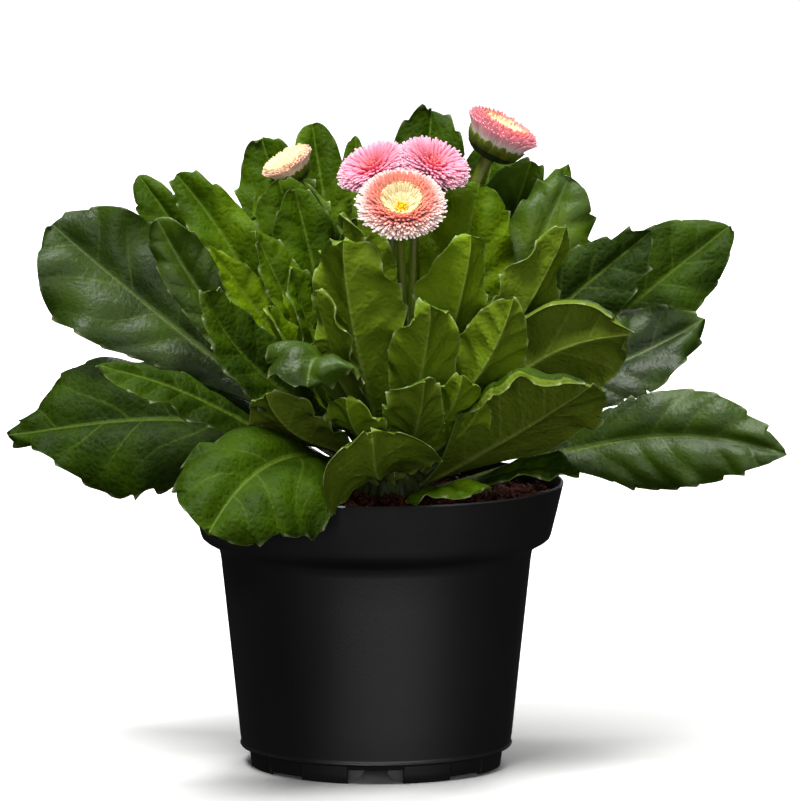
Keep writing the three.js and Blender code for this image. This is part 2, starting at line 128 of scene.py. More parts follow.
def facingOut(points, faces):
    # reverses every face if the volume they close, a sum of p0 . (p1 x p2) over fans, is negative
    volume = 0.0
    for block in faces:
        for k in range(1, block.shape[1] - 1):
            a, b, c = points[block[:, 0]], points[block[:, k]], points[block[:, k + 1]]
            volume += np.sum(a * np.cross(b, c))
    return faces if volume > 0 else [block[:, ::-1] for block in faces]


def closedTubes(points, **marks):
    # points[piece, row, ring point]: each piece is a tube along its rows, with a flat face on both ends;
    # a part is its points, its faces and its marks, which are numbers spread over the points
    pieces, rows, ring = points.shape[:3]
    step = np.arange(pieces)[:, None, None] * rows * ring
    quads = gridFaces(rows, ring)[None] + step
    ends = np.stack([np.arange(ring)[::-1], (rows - 1) * ring + np.arange(ring)])[None] + step
    marks = {key: np.broadcast_to(value, points.shape[:3]).reshape(-1) for key, value in marks.items()}
    points = points.reshape(-1, 3)
    return points, facingOut(points, [quads.reshape(-1, 4), ends.reshape(-1, ring)]), marks


def turnedSolid(profile, scale=1.0, columns=48, **marks):
    # a closed solid of revolution about z from (radius, height) pairs, with the given constant marks;
    # its seam of columns closes, and both poles are shut by flat faces
    turn = fullTurn(columns)[None]
    reach, z = np.array(profile, float).T[:, :, None] * scale
    return closedTubes(aroundZ(np.maximum(reach, 0.02), turn, z)[None], **marks)


def joined(parts):
    # several (points, face lists, attributes) become one
    points, faces, attributes, start = [], [], {}, 0
    for part in parts:
        points.append(part[0])
        faces += [block + start for block in part[1]]
        for name, values in part[2].items():
            attributes.setdefault(name, []).append(values)
        start += len(part[0])
    return np.concatenate(points), faces, {k: np.concatenate(v) for k, v in attributes.items()}


def makePiece(name, part, material, nodes, sharp=60):
    # a mesh object at the origin from points in mm, riding on the root and standing for CAD nodes
    points, faces, attributes = part
    mesh = bpy.data.meshes.new(name)
    mesh.from_pydata((points * mm).tolist(), [], [face for block in faces for face in block.tolist()])
    for key, values in attributes.items():
        layer = mesh.attributes.new(key, "FLOAT", "POINT")
        layer.data.foreach_set("value", np.ascontiguousarray(values, dtype=np.float32))
    mesh.shade_smooth()
    mesh.set_sharp_from_angle(angle=math.radians(sharp))
    mesh.materials.append(material)
    piece = bpy.data.objects.new(name, mesh)
    bpy.context.collection.objects.link(piece)
    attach(piece, "root")
    if nodes:
        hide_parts(*nodes)


# leaves: tip and width in mm; rise and end are the midrib's slopes at root and tip in degrees, swing
# turns the root sideways, roll turns the upper face about the midrib to its right, twist turns the outer
# blade on, curl lifts both margins and hem rolls one of them; widest is where along it the blade is
# broadest, point 0.5 rounds the tip and 0.9 sharpens it, wing widens the stalk; teeth, frill and quilting
# scale what they name; tone runs from 0, old and dark, to 1, young and yellow-green
usualLeaf = dict(widest=0.74, point=0.5, swing=0, twist=0, wing=0.3, teeth=1, frill=0.07, quilting=1.2,
                 hem=(1, 0))
leaves = {
    "left_high": dict(tip=(-110, 20, 171), rise=37, end=40, width=43, widest=0.81, roll=-70, curl=8,
        tone=0.12, teeth=0.5, wing=0),
    "left_low": dict(tip=(-124, 10, 104), rise=31, end=-10, width=49, widest=0.68, roll=-54, curl=-10,
        point=0.95, tone=0.06),
    "left_shelf": dict(tip=(-93, -28, 131), rise=25, end=12, width=20, widest=0.72, roll=-40, curl=-16,
        tone=0.1, hem=(-1, 70), wing=0.1),
    "left_dark": dict(tip=(-59, -42, 156), rise=45, end=66, width=22, widest=0.7, roll=-72, curl=14,
        swing=12, tone=0.15, frill=0.04),
    "left_round": dict(tip=(-75, -12, 176), rise=46, end=64, width=17, widest=0.78, roll=-84, curl=12,
        point=0.4, swing=11, tone=0.35, teeth=0.9, twist=-15, frill=0.1),
    "left_back_narrow": dict(tip=(-83, 41, 185), rise=45, end=50, width=18, widest=0.72, roll=-70,
        curl=18, point=0.45, swing=3, tone=0.3, hem=(-1, 60), teeth=1.2, frill=0.1),
    "left_folded": dict(tip=(-70, 20, 187), rise=48, end=46, width=20, widest=0.7, roll=-52, curl=26,
        point=0.42, swing=16, tone=0.4, hem=(1, -60), teeth=1.4, frill=0.14, twist=-20),
    "left_twisted": dict(tip=(-59, -20, 169), rise=53, end=54, width=16, widest=0.55, roll=-75, curl=20,
        point=0.8, swing=12, tone=0.75),
    "front_left_hanging": dict(tip=(-57, -86, 86), rise=29, end=-46, width=44, widest=0.72, roll=-32,
        curl=-8, tone=0.2, teeth=0.7, quilting=1.7),
    "front_left_low": dict(tip=(-40, -50, 125), rise=39.3, end=56, width=24.5, widest=0.72, roll=10,
        curl=10, swing=-4, tone=0.08, frill=0.1),
    "front_toothed": dict(tip=(-27, -58, 128), rise=56, end=-84, width=29, widest=0.78, roll=-16,
        curl=-6, point=0.42, swing=-8, tone=0.25, teeth=1.5),
    "front_cupped": dict(tip=(-7, -80, 117), rise=30, end=76, width=42, widest=0.8, roll=24, curl=-14,
        wing=0, tone=0.2, teeth=0.5, frill=0.03),
    "front_on_soil": dict(tip=(24, -44, 92.5), rise=12.6, end=-3, width=23, widest=0.6, roll=6, curl=-4,
        point=0.42, tone=0.5, teeth=0.3, frill=0.03),
    "front_short": dict(tip=(9, -62, 131), rise=40, end=58, width=17, roll=-6, curl=22, point=0.45,
        wing=0.5, tone=0.3, frill=0.11, teeth=0.8, twist=18),
    "front_middle": dict(tip=(11, -44, 152), rise=52, end=68, width=22, roll=-14, curl=22, tone=0.5,
        frill=0.12, teeth=0.7, twist=30, hem=(1, 55)),
    "front_ribbed": dict(tip=(37, -36, 153), rise=52, end=70, width=17, widest=0.7, roll=-46, curl=20,
        point=0.55, wing=1.0, tone=0.62, teeth=0.6, frill=0.1, quilting=2.2, swing=-4),
    "right_curled": dict(tip=(61, -52, 128), rise=26, end=30, width=30, roll=-38, curl=22, wing=1.1,
        tone=0.12, hem=(1, -130)),
    "right_under": dict(tip=(58, -32, 97), rise=12, end=-12, width=14, widest=0.7, roll=20, curl=6,
        point=0.6, tone=0.15, swing=2),
    "right_olive": dict(tip=(73, -30, 141), rise=45, end=4, width=34, roll=-76, curl=14, tone=0.12,
        hem=(1, -110)),
    "right_low": dict(tip=(123, -36, 104), rise=16, end=-16, width=32, widest=0.7, roll=80, curl=-6,
        point=0.85, tone=0.18, teeth=0.8, wing=0, quilting=1.4),
    "right_middle": dict(tip=(99, 8, 142), rise=41, end=30, width=29, widest=0.7, roll=62, curl=8,
        point=0.8, swing=-6, tone=0.1),
    "right_high": dict(tip=(108, 34, 169), rise=34, end=34, width=28, widest=0.78, roll=62, curl=8,
        tone=0.16, teeth=0.35),
    "right_dark": dict(tip=(82, 17, 169), rise=55, end=38, width=25, widest=0.72, roll=56, curl=12,
        point=0.75, swing=-6, tone=0.0, twist=20, teeth=1.3),
    "right_yellow": dict(tip=(54, -10, 173), rise=54, end=66, width=20, widest=0.76, roll=-58, curl=18,
        swing=-14, tone=0.5, frill=0.1, teeth=0.9, twist=25),
    "middle_tall": dict(tip=(-16, -32, 171), rise=62, end=80, width=28, roll=10, curl=20, point=0.38,
        tone=0.56, frill=0.12, twist=-12, hem=(1, -20)),
    "middle_right": dict(tip=(24, -16, 171), rise=68, end=80, width=22, widest=0.76, roll=-46, curl=18,
        tone=1.0, frill=0.12, teeth=0.7, twist=25),
    "middle_face": dict(tip=(-32, 2, 184), rise=62, end=74, width=20, widest=0.76, roll=-70, curl=12,
        point=0.38, swing=25, tone=0.42, teeth=1.1, frill=0.11),
    "middle_broad": dict(tip=(-40, 26, 186), rise=62, end=62, width=26, widest=0.78, roll=-58, curl=-10,
        point=0.38, swing=-4, tone=0.5, frill=0.1),
    "back_left_round": dict(tip=(-43, 40, 197), rise=48, end=68, width=24, widest=0.78, roll=-40,
        curl=14, point=0.36, swing=3, tone=0.35, teeth=1.1, frill=0.11, twist=-20),
    "back_left_tall": dict(tip=(-27, 50, 201), rise=56, end=70, width=17, widest=0.8, roll=-20, curl=12,
        point=0.36, tone=0.45, frill=0.1),
    "back_tall": dict(tip=(12, 66, 204), rise=54, end=66, width=24, widest=0.82, roll=10, curl=12,
        point=0.4, swing=4, tone=0.2, teeth=1.3, frill=0.1),
    "back_right_tall": dict(tip=(33, 57, 195), rise=50, end=66, width=22, widest=0.78, roll=24, curl=12,
        point=0.42, swing=2, tone=0.2, teeth=1.2),
    "back_right_inner": dict(tip=(44, 36, 190), rise=54, end=66, width=22, widest=0.78, roll=44, curl=12,
        point=0.42, swing=8, tone=0.3, hem=(-1, 40), teeth=1.2),
    "right_glossy": dict(tip=(27, 12, 185), rise=62, end=74, width=31, roll=60, curl=-12, point=0.38,
        swing=-9, tone=0.68, frill=0.05, teeth=0.6, quilting=1.8),
    "right_broad": dict(tip=(56, 23, 186), rise=48, end=62, width=27, widest=0.78, roll=64, curl=-8,
        point=0.4, tone=0.42, teeth=1.1, frill=0.09),
    "back_bronze": dict(tip=(-13, 62, 196), rise=72, end=68, width=11, widest=0.8, roll=-10, curl=12,
        swing=-17, tone=0.5),
    "back_low_1": dict(tip=(76, 60, 122), rise=26, end=4, width=38, roll=10, curl=8, point=0.55,
        tone=0.15),
    "back_low_2": dict(tip=(34, 88, 112), rise=24, end=-8, width=40, roll=0, curl=6, tone=0.1),
    "back_low_3": dict(tip=(-18, 89, 118), rise=26, end=-4, width=38, roll=4, curl=8, point=0.55,
        tone=0.15),
    "back_low_4": dict(tip=(-68, 71, 114), rise=24, end=-6, width=36, roll=-6, curl=6, tone=0.1),
    "back_mid_1": dict(tip=(44, 78, 152), rise=42, end=26, width=32, roll=6, curl=10, tone=0.25),
    "back_mid_2": dict(tip=(-40, 76, 154), rise=42, end=28, width=32, roll=-6, curl=10, tone=0.25),
}
youngLeaves = {
    "Left": dict(tip=(-12, -8, 176), rise=72, end=76, width=18, widest=0.78, roll=60, curl=20, swing=21,
        tone=0.6),
    "Right": dict(tip=(56, 46, 188), rise=46, end=60, width=16, widest=0.76, roll=40, curl=14, point=0.6,
        swing=6, tone=0.25),
    "Front": dict(tip=(-15, -55, 124), rise=50, end=60, width=17, widest=0.76, roll=-4, curl=16,
        tone=0.7, frill=0.1),
    "FrontRight": dict(tip=(21, -46, 130), rise=54, end=66, width=15, roll=-24, curl=20, tone=0.75,
        frill=0.08),
    "Inner": dict(tip=(-33, -14, 161), rise=60, end=74, width=14, widest=0.78, roll=-60, curl=18,
        tone=0.5, frill=0.1),
    "Outer": dict(tip=(-40, -42, 151), rise=50, end=60, width=15, widest=0.78, roll=-50, curl=18,
        tone=0.55, frill=0.1),
    "Middle": dict(tip=(-24, -38, 156), rise=56, end=66, width=16, widest=0.78, roll=-40, curl=20,
        tone=0.45, frill=0.1),
    "Behind": dict(tip=(-16, -13, 178), rise=72, end=78, width=20, widest=0.8, roll=-30, curl=12,
        point=0.45, tone=0.45, frill=0.08),
    "Core": dict(tip=(13, -32, 119), rise=52, end=70, width=11, roll=-20, curl=26, tone=0.85, frill=0.1),
    "CoreRight": dict(tip=(27, -36, 121), rise=46, end=62, width=12, roll=-40, curl=24, tone=0.8,
        frill=0.1),
    "ByBud": dict(tip=(-37, 4.5, 186.5), rise=64, end=72, width=24, widest=0.8, roll=-66, curl=-6,
        point=0.4, tone=0.4),
    "High": dict(tip=(-44, -12, 172), rise=58, end=66, width=15, widest=0.78, roll=-60, curl=16,
        tone=0.5, frill=0.1, swing=15),
}
blade = dict(rows=150, youngRows=100, columns=22, thickness=0.5, midrib=1.0, stalkHalf=1.3, camber=0.1,
             toothSpacing=9.0, toothDepth=2.7, toothRise=0.86, crownHeight=85.0, rootReach=12.2, steep=60)


def climbing(heading, slope):
    # a flat direction tipped up by slope degrees
    angle = math.radians(slope)
    return np.array([heading[0] * math.cos(angle), heading[1] * math.cos(angle), math.sin(angle)])


def turnedFlat(vectors, degrees):
    # turns directions about the vertical
    angle = np.radians(degrees)
    x, y = vectors[..., 0], vectors[..., 1]
    return np.stack([x * np.cos(angle) - y * np.sin(angle),
                     x * np.sin(angle) + y * np.cos(angle), vectors[..., 2] + 0 * angle], -1)


def leaving(end, swing, rise):
    # how a midrib or stalk to a given end leaves the crown: its flat heading, slope, root and length
    heading = unit(np.array([end[0], end[1], 0.0]))
    start = climbing(turnedFlat(heading, swing), rise)
    root = np.array([0, 0, blade["crownHeight"]]) + start * blade["rootReach"]
    return heading, start, root, np.linalg.norm(end - root)


def bezier(a, b, c, d, t):
    # cubic curve and its direction at every t
    t = t[..., None]
    s = 1 - t
    place = s ** 3 * a + 3 * s * s * t * b + 3 * s * t * t * c + t ** 3 * d
    return place, unit(3 * s * s * (b - a) + 6 * s * t * (c - b) + 3 * t * t * (d - c))


def halfWidth(leaf, u):
    # a slim stalk, widened by its wing, plus a blade whose outline is a sine pushed towards the tip
    reach = math.log(0.5) / math.log(leaf["widest"])
    outline = np.maximum(np.sin(np.pi * u ** reach), 0) ** leaf["point"]
    stalk = blade["stalkHalf"] * (1 - u) + leaf["width"] * leaf["wing"] * u * (1 - u)
    return stalk + leaf["width"] / 2 * outline * np.minimum(1, 2 * u)


def leafSurface(leaf, number, rows):
    # the blade as a closed skin: u runs along the midrib, a cubic curve from crown to tip, and v runs
    # across the upper face and back across the lower one. From the midrib out, the slope of the section
    # is summed: the curl grows evenly, the hem rolls only the outer third of one side, and each half is
    # cambered. To that are added two waves of the margin and a bulge between side veins.
    # The margin moves along its own normal by teeth that grow slowly and fall back at once.
    leaf = usualLeaf | leaf
    tip = np.array(leaf["tip"], float)
    width, swing = leaf["width"], leaf["swing"]
    heading, start, root, length = leaving(tip, swing, leaf["rise"])
    finish = climbing(heading, leaf["end"])

    # rows stand evenly along the margin, but wider apart on the stalk
    fine = np.linspace(0, 1, 800)
    outline = halfWidth(leaf, fine)
    steps = np.hypot(np.diff(fine) * length, np.diff(outline))
    margin = np.concatenate([[0], np.cumsum(steps)])
    spaced = np.concatenate([[0], np.cumsum(steps * np.where(fine[1:] < 0.35, 0.4, 1))])
    u = np.interp(np.linspace(0, spaced[-1], rows), spaced, fine)[:, None]
    wide = np.interp(u, fine, outline)
    lean = np.interp(u, fine, np.gradient(outline, fine * length))
    travel = np.interp(u, fine, margin)

    # columns on both sides of the midrib crowd towards the margin, where the teeth are cut
    outward = np.linspace(0.004, 1, blade["columns"] // 2)
    outward = 0.4 * outward + 0.6 * np.sin(outward * np.pi / 2)
    across = np.concatenate([-outward[::-1], outward])[None]
    side = np.where(across > 0, 1.0, -1.0)
    spacing = blade["toothSpacing"] * (0.7 + 0.3 * min(width / 34, 1.2))
    beat = travel / spacing + number * 0.37 + 0.43 * (side > 0)
    within = beat % 1
    back = blade["toothRise"]
    saw = np.where(within < back, (within / back) ** 1.5, (1 - within) / (1 - back))
    uneven = 0.15 + 1.15 * np.maximum(np.sin(np.floor(beat) * 2.4 + number * 1.3), 0) ** 1.6
    depth = blade["toothDepth"] * min(width / 30, 1.15) * leaf["teeth"]
    tooth = depth * uneven * (saw - 0.45) * smoothStep(0.4, 0.6, u)
    nearEdge = np.abs(across) ** 5
    away = np.hypot(1, lean)
    x = u * length - lean / away * tooth * nearEdge
    swell = 1 + 0.1 * side * np.sin(number * 2.1) + 0.07 * np.sin(9 * u + number * 2.7 + 2.2 * (side > 0))
    reach = np.abs(across) * wide * (1 + (swell - 1) * smoothStep(0.3, 0.55, u)) + tooth * nearEdge / away

    # the section, summed from the midrib's column outwards on both sides
    middleColumn = blade["columns"] // 2
    far = np.abs(across)
    slope = 2 * np.radians(leaf["curl"]) * far * np.minimum(u * 1.6, 1)
    slope = slope + 4 * blade["camber"] * (1 - 2.2 * far) * smoothStep(0.2, 0.5, u)
    hemSide, hem = leaf["hem"]
    rolled = np.radians(hem) * smoothStep(0.5, 1.0, far) * (side == hemSide)
    slope = slope + rolled * smoothStep(0.35, 0.6, u)
    slope = np.clip(slope, -2.9, 2.9)
    lateral, rise = np.zeros_like(reach), np.zeros_like(reach)
    for half in (slice(middleColumn, None), slice(middleColumn - 1, None, -1)):
        step = np.diff(reach[:, half], axis=1)
        tilt = (slope[:, half][:, 1:] + slope[:, half][:, :-1]) / 2
        lateral[:, half][:, 1:] = np.cumsum(step * np.cos(tilt), axis=1)
        rise[:, half][:, 1:] = np.cumsum(step * np.sin(tilt), axis=1)
    lateral = (lateral + outward[0] * wide) * side

    # side veins leave the midrib at 45 degrees and bend towards the tip
    veinSpacing = 4 + 0.3 * width
    veinRow = (x - 0.85 * reach - 0.016 * reach ** 2) / veinSpacing + 20
    veinRow = veinRow + 0.45 * (side > 0) + number * 0.31 + 0.16 * np.sin(x * 0.16 + number + side)
    bladePart = smoothStep(0.25, 0.6, u) * (1 - smoothStep(0.93, 1.0, u))
    bulge = np.abs(np.sin(np.pi * veinRow)) ** 0.8 * smoothStep(0.02, 0.3, far) * (1 - 0.6 * far ** 3)
    bulge = bulge * leaf["quilting"] * min(0.5 + width / 60, 1.2)
    groove = -0.9 * np.exp(-(reach / 2.2) ** 2)
    slowWave = 0.055 * np.sin(13 * u + number * 1.7 + 1.9 * (side > 0)) * far ** 2
    quickWave = np.sin(27 * u + number * 2.9 + 2.4 * (side > 0)) + 0.6 * np.sin(43 * u + number + side)
    quickWave = leaf["frill"] * quickWave * far ** 2.5
    waves = width * (slowWave + quickWave * smoothStep(0.4, 0.65, u)) * np.minimum(u, 0.8)
    height = rise + waves + (bulge + groove) * bladePart
    thick = (blade["thickness"] + blade["midrib"] * np.exp(-(reach / 1.6) ** 2) * (1.1 - u)) / 2
    thick = thick * np.minimum(1, (1.02 - u) * 30)

    def bothFaces(values):
        # the upper face's columns, then the lower face's in reverse order
        values = np.broadcast_to(values, reach.shape)
        return np.concatenate([values, values[:, ::-1]], 1)

    share = bothFaces(x / length)
    middle, tangent = bezier(root, root + start * 0.42 * length, tip - finish * 0.38 * length, tip, share)
    flatSide = np.array([heading[1], -heading[0], 0.0])
    flatSide = turnedFlat(np.broadcast_to(flatSide, middle.shape), swing * (1 - share) ** 2)
    up = unit(np.cross(flatSide, tangent))
    right = np.cross(tangent, up)
    roll = leaf["roll"] * np.minimum(u * 2.2, 1) + leaf["twist"] * smoothStep(0.4, 1.0, u)
    roll = np.radians(roll)[..., None]
    faceUp = up * np.cos(roll) + right * np.sin(roll)
    faceRight = right * np.cos(roll) - up * np.sin(roll)
    face = np.repeat([1.0, -1.0], blade["columns"])[None]
    lift = bothFaces(height) + face * bothFaces(thick)
    points = middle + faceRight * bothFaces(lateral)[..., None] + faceUp * lift[..., None]

    return closedTubes(
        points[None], veinRow=bothFaces(veinRow), veinGap=veinSpacing, acrossMm=bothFaces(reach),
        edgeMm=bothFaces((1 - far) * wide), lengthShare=share, underside=face < 0, tone=leaf["tone"],
        toothTip=bothFaces(saw ** 5 * far ** 12 * smoothStep(0.4, 0.6, u)))


# sizes of the surface patterns in metres; the vein net, with meshes of 1 mm in life, and the petal
# grain, under 0.1 mm in life, are coarser so that they show
pattern = dict(leafPatch=0.02, leafFuzz=0.0009, veinNet=0.0024, leafCrinkle=0.0055, streak=0.0012,
               petalGrain=0.0004, bractMottle=0.0016, mouldGrain=0.0009, flowMark=0.03, clod=0.0025)


# leaf material
leafColours = dict(old="#1a2c02", middle="#3a5402", young="#708c06", oldUnder="#566518",
                   youngUnder="#6d8a0d", vein="#6f8a2c", underVein="#9cab54", edge="#8fa55c",
                   glow="#84a60a", tooth="#d5dcae")


def waxyLeaf(name, shine, rough, pucker):
    # living daisy leaf: a thin waxy skin over veined tissue. The wax gives the upper face a soft broad
    # gloss, the hairless underside is paler and matte, veins and margin show pale, light shines through
    material, node, place = newMaterial(name)
    read = {key: node("Attribute", attribute_name=key).outputs["Fac"] for key in (
        "veinRow", "veinGap", "acrossMm", "edgeMm", "lengthShare", "underside", "tone", "toothTip")}
    patches = node("TexNoise", {"Vector": place, "Scale": 1 / pattern["leafPatch"], "Detail": 3.0})
    fuzz = node("TexNoise", {"Vector": place, "Scale": 1 / pattern["leafFuzz"], "Detail": 3.0,
            "Roughness": 0.6})

    # tone moved a little by the patches, so that no leaf is one flat green
    drift = node("Math", {0: patches, 1: 0.9, 2: -0.45}, operation="MULTIPLY_ADD")
    shade = node("Math", {0: read["tone"], 1: drift}, operation="ADD", use_clamp=True)
    upper = node("ValToRGB", {"Fac": shade}, stops=[
        (0, leafColours["old"]), (0.45, leafColours["middle"]), (1, leafColours["young"])])
    lower = node("ValToRGB", {"Fac": shade}, stops=[
        (0, leafColours["oldUnder"]), (1, leafColours["youngUnder"])])
    faceColour = node("Mix", {"Factor": read["underside"], "A": upper, "B": lower}, data_type="RGBA")

    # painted shade: the lower blade is darkened, to 0.58 of its value at the root, for the shade the
    # leaves above cast on it
    paintedBaseShade = node("MapRange", {"Value": read["lengthShare"], "From Min": 0.15, "From Max": 0.62,
            "To Min": 0.58, "To Max": 1.0})
    faceColour = node("HueSaturation", {"Color": faceColour, "Value": paintedBaseShade})

    # side veins lie where veinRow is a whole number, and fade towards the margin
    offVein = node("Math", {0: read["veinRow"], 1: 0.5}, operation="PINGPONG")
    veinMm = node("Math", {0: offVein, 1: read["veinGap"]}, operation="MULTIPLY")
    fade = node("MapRange", {"Value": read["edgeMm"], "From Min": 1.0, "From Max": 14.0, "To Min": 0.02,
            "To Max": 0.16})
    sideVein = node("MapRange", {"Value": veinMm, "From Min": 1.0, "From Max": 0.05, "To Max": fade},
        interpolation_type="SMOOTHSTEP")
    # the midrib's line narrows evenly, from 2.0 mm at the root to 0.3 mm at the tip
    ribWidth = node("Math", {0: read["lengthShare"], 1: -1.7, 2: 2.0}, operation="MULTIPLY_ADD")
    ribShare = node("Math", {0: read["acrossMm"], 1: ribWidth}, operation="DIVIDE")
    midrib = node("MapRange", {"Value": ribShare, "From Min": 1.2, "From Max": 0.2, "To Max": 0.36},
        interpolation_type="SMOOTHSTEP")
    ribs = node("Math", {0: sideVein, 1: midrib}, operation="MAXIMUM")
    # the finest veins are a net of cell edges
    cells = node("TexVoronoi", {"Vector": place, "Scale": 1 / pattern["veinNet"]},
        feature="DISTANCE_TO_EDGE")
    net = node("MapRange", {"Value": cells, "From Min": 0.12, "From Max": 0.0, "To Max": 0.055})
    anyRib = node("Math", {0: ribs, 1: net}, operation="ADD")
    veinColour = node("Mix", {"Factor": read["underside"], "A": leafColours["vein"],
            "B": leafColours["underVein"]}, data_type="RGBA")
    veined = node("Mix", {"Factor": anyRib, "A": faceColour, "B": veinColour}, data_type="RGBA")
    # the margin is a pale line half a millimetre wide, clearer seen from below; tooth tips are whitish
    rimMost = node("Math", {0: read["underside"], 1: 0.25, 2: 0.06}, operation="MULTIPLY_ADD")
    rim = node("MapRange", {"Value": read["edgeMm"], "From Min": 0.7, "From Max": 0.15,
            "To Max": rimMost}, interpolation_type="SMOOTHSTEP")
    edged = node("Mix", {"Factor": rim, "A": veined, "B": leafColours["edge"]}, data_type="RGBA")
    outermost = node("MapRange", {"Value": read["edgeMm"], "From Min": 1.2, "From Max": 0.2,
            "To Max": 0.45})
    tipShare = node("Math", {0: read["toothTip"], 1: outermost}, operation="MULTIPLY")
    tipped = node("Mix", {"Factor": tipShare, "A": edged, "B": leafColours["tooth"]}, data_type="RGBA")

    crinkle = node("TexNoise", {"Vector": place, "Scale": 1 / pattern["leafCrinkle"], "Detail": 2.0})
    dents = node("Math", {0: cells, 1: 0.6, 2: crinkle}, operation="MULTIPLY_ADD")
    gloss = node("MapRange", {"Value": read["underside"], "To Min": rough, "To Max": 0.58})
    roughness = node("Math", {0: patches, 1: 0.16, 2: gloss}, operation="MULTIPLY_ADD")
    relief = node("Math", {0: fuzz, 1: 0.8, 2: anyRib}, operation="MULTIPLY_ADD")
    puckered = node("Bump", {"Height": dents, "Strength": pucker, "Distance": 0.0012})
    bump = node("Bump", {"Height": relief, "Strength": 0.5, "Distance": 0.0005, "Normal": puckered})
    skin = node("BsdfPrincipled", {"Base Color": tipped, "Roughness": roughness, "IOR": 1.45,
            "Specular IOR Level": shine, "Normal": bump})
    glow = node("Mix", {"Factor": 0.6, "A": tipped, "B": leafColours["glow"]}, data_type="RGBA")
    through = node("BsdfTranslucent", {"Color": glow})
    mixed = node("MixShader", {"Fac": 0.14, 1: skin, 2: through})
    node("OutputMaterial", {"Surface": mixed})
    return material


def pieceName(nodeName):
    # left_high_leaf becomes leftHighLeaf
    first, *others = nodeName.split("_")
    return first + "".join(word.capitalize() for word in others)


glossyLeaves = ["left_high", "left_round", "right_middle", "right_broad", "front_toothed", "right_low"]
glossySkin = waxyLeaf("waxyDaisyLeaf", shine=0.38, rough=0.38, pucker=0.3)
dullSkin = waxyLeaf("wornDaisyLeaf", shine=0.07, rough=0.43, pucker=0.7)
for number, (name, leaf) in enumerate(leaves.items()):
    makePiece(pieceName(name + "_leaf"), leafSurface(leaf, number, blade["rows"]),
              glossySkin if name in glossyLeaves else dullSkin,
              ["leaf_" + name], sharp=50)
for number, (name, leaf) in enumerate(youngLeaves.items(), 50):
    makePiece("youngLeaf" + name, leafSurface(leaf, number, blade["youngRows"]), dullSkin,
              ["crown"] if name in ("Left", "Right") else [], sharp=50)
print("leaves made:", len(leaves) + len(youngLeaves))


# crown
crown = dict(radius=13.0, foot=78.0, height=85.0, stemShare=0.3, ribs=9, rib=0.7)


def crownDome():
    # a dome over a short stem: radius and height follow a quarter circle, with ribs round it
    turn = fullTurn(104)[None]
    t = np.linspace(0, 1, 22)[:, None]
    stem = crown["stemShare"]
    arch = np.clip((t - stem) / (1 - stem), 0, 1) * np.pi / 2
    ribs = np.sin(turn * crown["ribs"]) + 0.6 * np.sin(turn * 14 + 1 + 3 * t)
    ribs = ribs + 0.5 * np.sin(turn * 23 + 5 * t)
    radius = (crown["radius"] + crown["rib"] * ribs) * np.cos(arch)
    radius = np.maximum(radius, 0.05)
    z = np.where(t < stem, crown["foot"] + (crown["height"] - crown["foot"]) * t / stem,
                 crown["height"] + crown["radius"] * np.sin(arch))
    return closedTubes(aroundZ(radius, turn, z)[None])


def plantFlesh(name, pale, deep, rough):
    # soft green stem tissue: ribbed lengthwise, satin, with paler ribs and a little light inside
    material, node, place = newMaterial(name)
    stretched = node("Mapping", {"Vector": place, "Scale": (1.0, 1.0, 0.12)})
    streaks = node("TexNoise", {"Vector": stretched, "Scale": 1 / pattern["streak"], "Detail": 3.0})
    colour = node("ValToRGB", {"Fac": streaks}, stops=[(0.3, deep), (0.7, pale)])
    bump = node("Bump", {"Height": streaks, "Strength": 0.4, "Distance": 0.0003})
    skin = node("BsdfPrincipled", {"Base Color": colour, "Roughness": rough, "IOR": 1.42,
            "Subsurface Weight": 0.15, "Subsurface Scale": 0.001, "Normal": bump})
    node("OutputMaterial", {"Surface": skin})
    return material


crownMaterial = plantFlesh("crownFlesh", "#35420f", "#1a2107", 0.6)
makePiece("crownDome", crownDome(), crownMaterial, ["crown"])
print("crown made")


# flowers: middle of the bowl and the way it looks, radius in mm, the stalk's slope and swing at
# the crown, and its radius at both ends
flowers = {
    "front_flower": dict(middle=(2, -28, 182), looks=(0.02, -0.68, 0.73), radius=14.4, rise=72, swing=10,
                         form="open", colours="blush", stalk=(1.3, 1.6)),
    "left_pink_flower": dict(middle=(-6.6, 2, 190.5), looks=(-0.36, -0.46, 0.81), radius=12.2, rise=84,
                             swing=80, form="fan", colours="rose", stalk=(1.3, 1.5)),
    "right_pink_flower": dict(middle=(12.0, 2, 191.5), looks=(0.34, -0.46, 0.82), radius=12.4, rise=80,
                              swing=-11, form="fan", colours="rose", stalk=(1.3, 1.5)),
    "young_flower": dict(middle=(-34, 14, 191), looks=(-0.48, -0.22, 0.85), radius=8.8, rise=72, swing=16,
                         form="button", colours="young", stalk=(1.2, 1.5)),
    "tall_flower": dict(middle=(34, 26, 200), looks=(0.46, -0.12, 0.88), radius=12.3, rise=68, swing=0,
                        form="drum", colours="tall", stalk=(1.4, 2.3)),
}
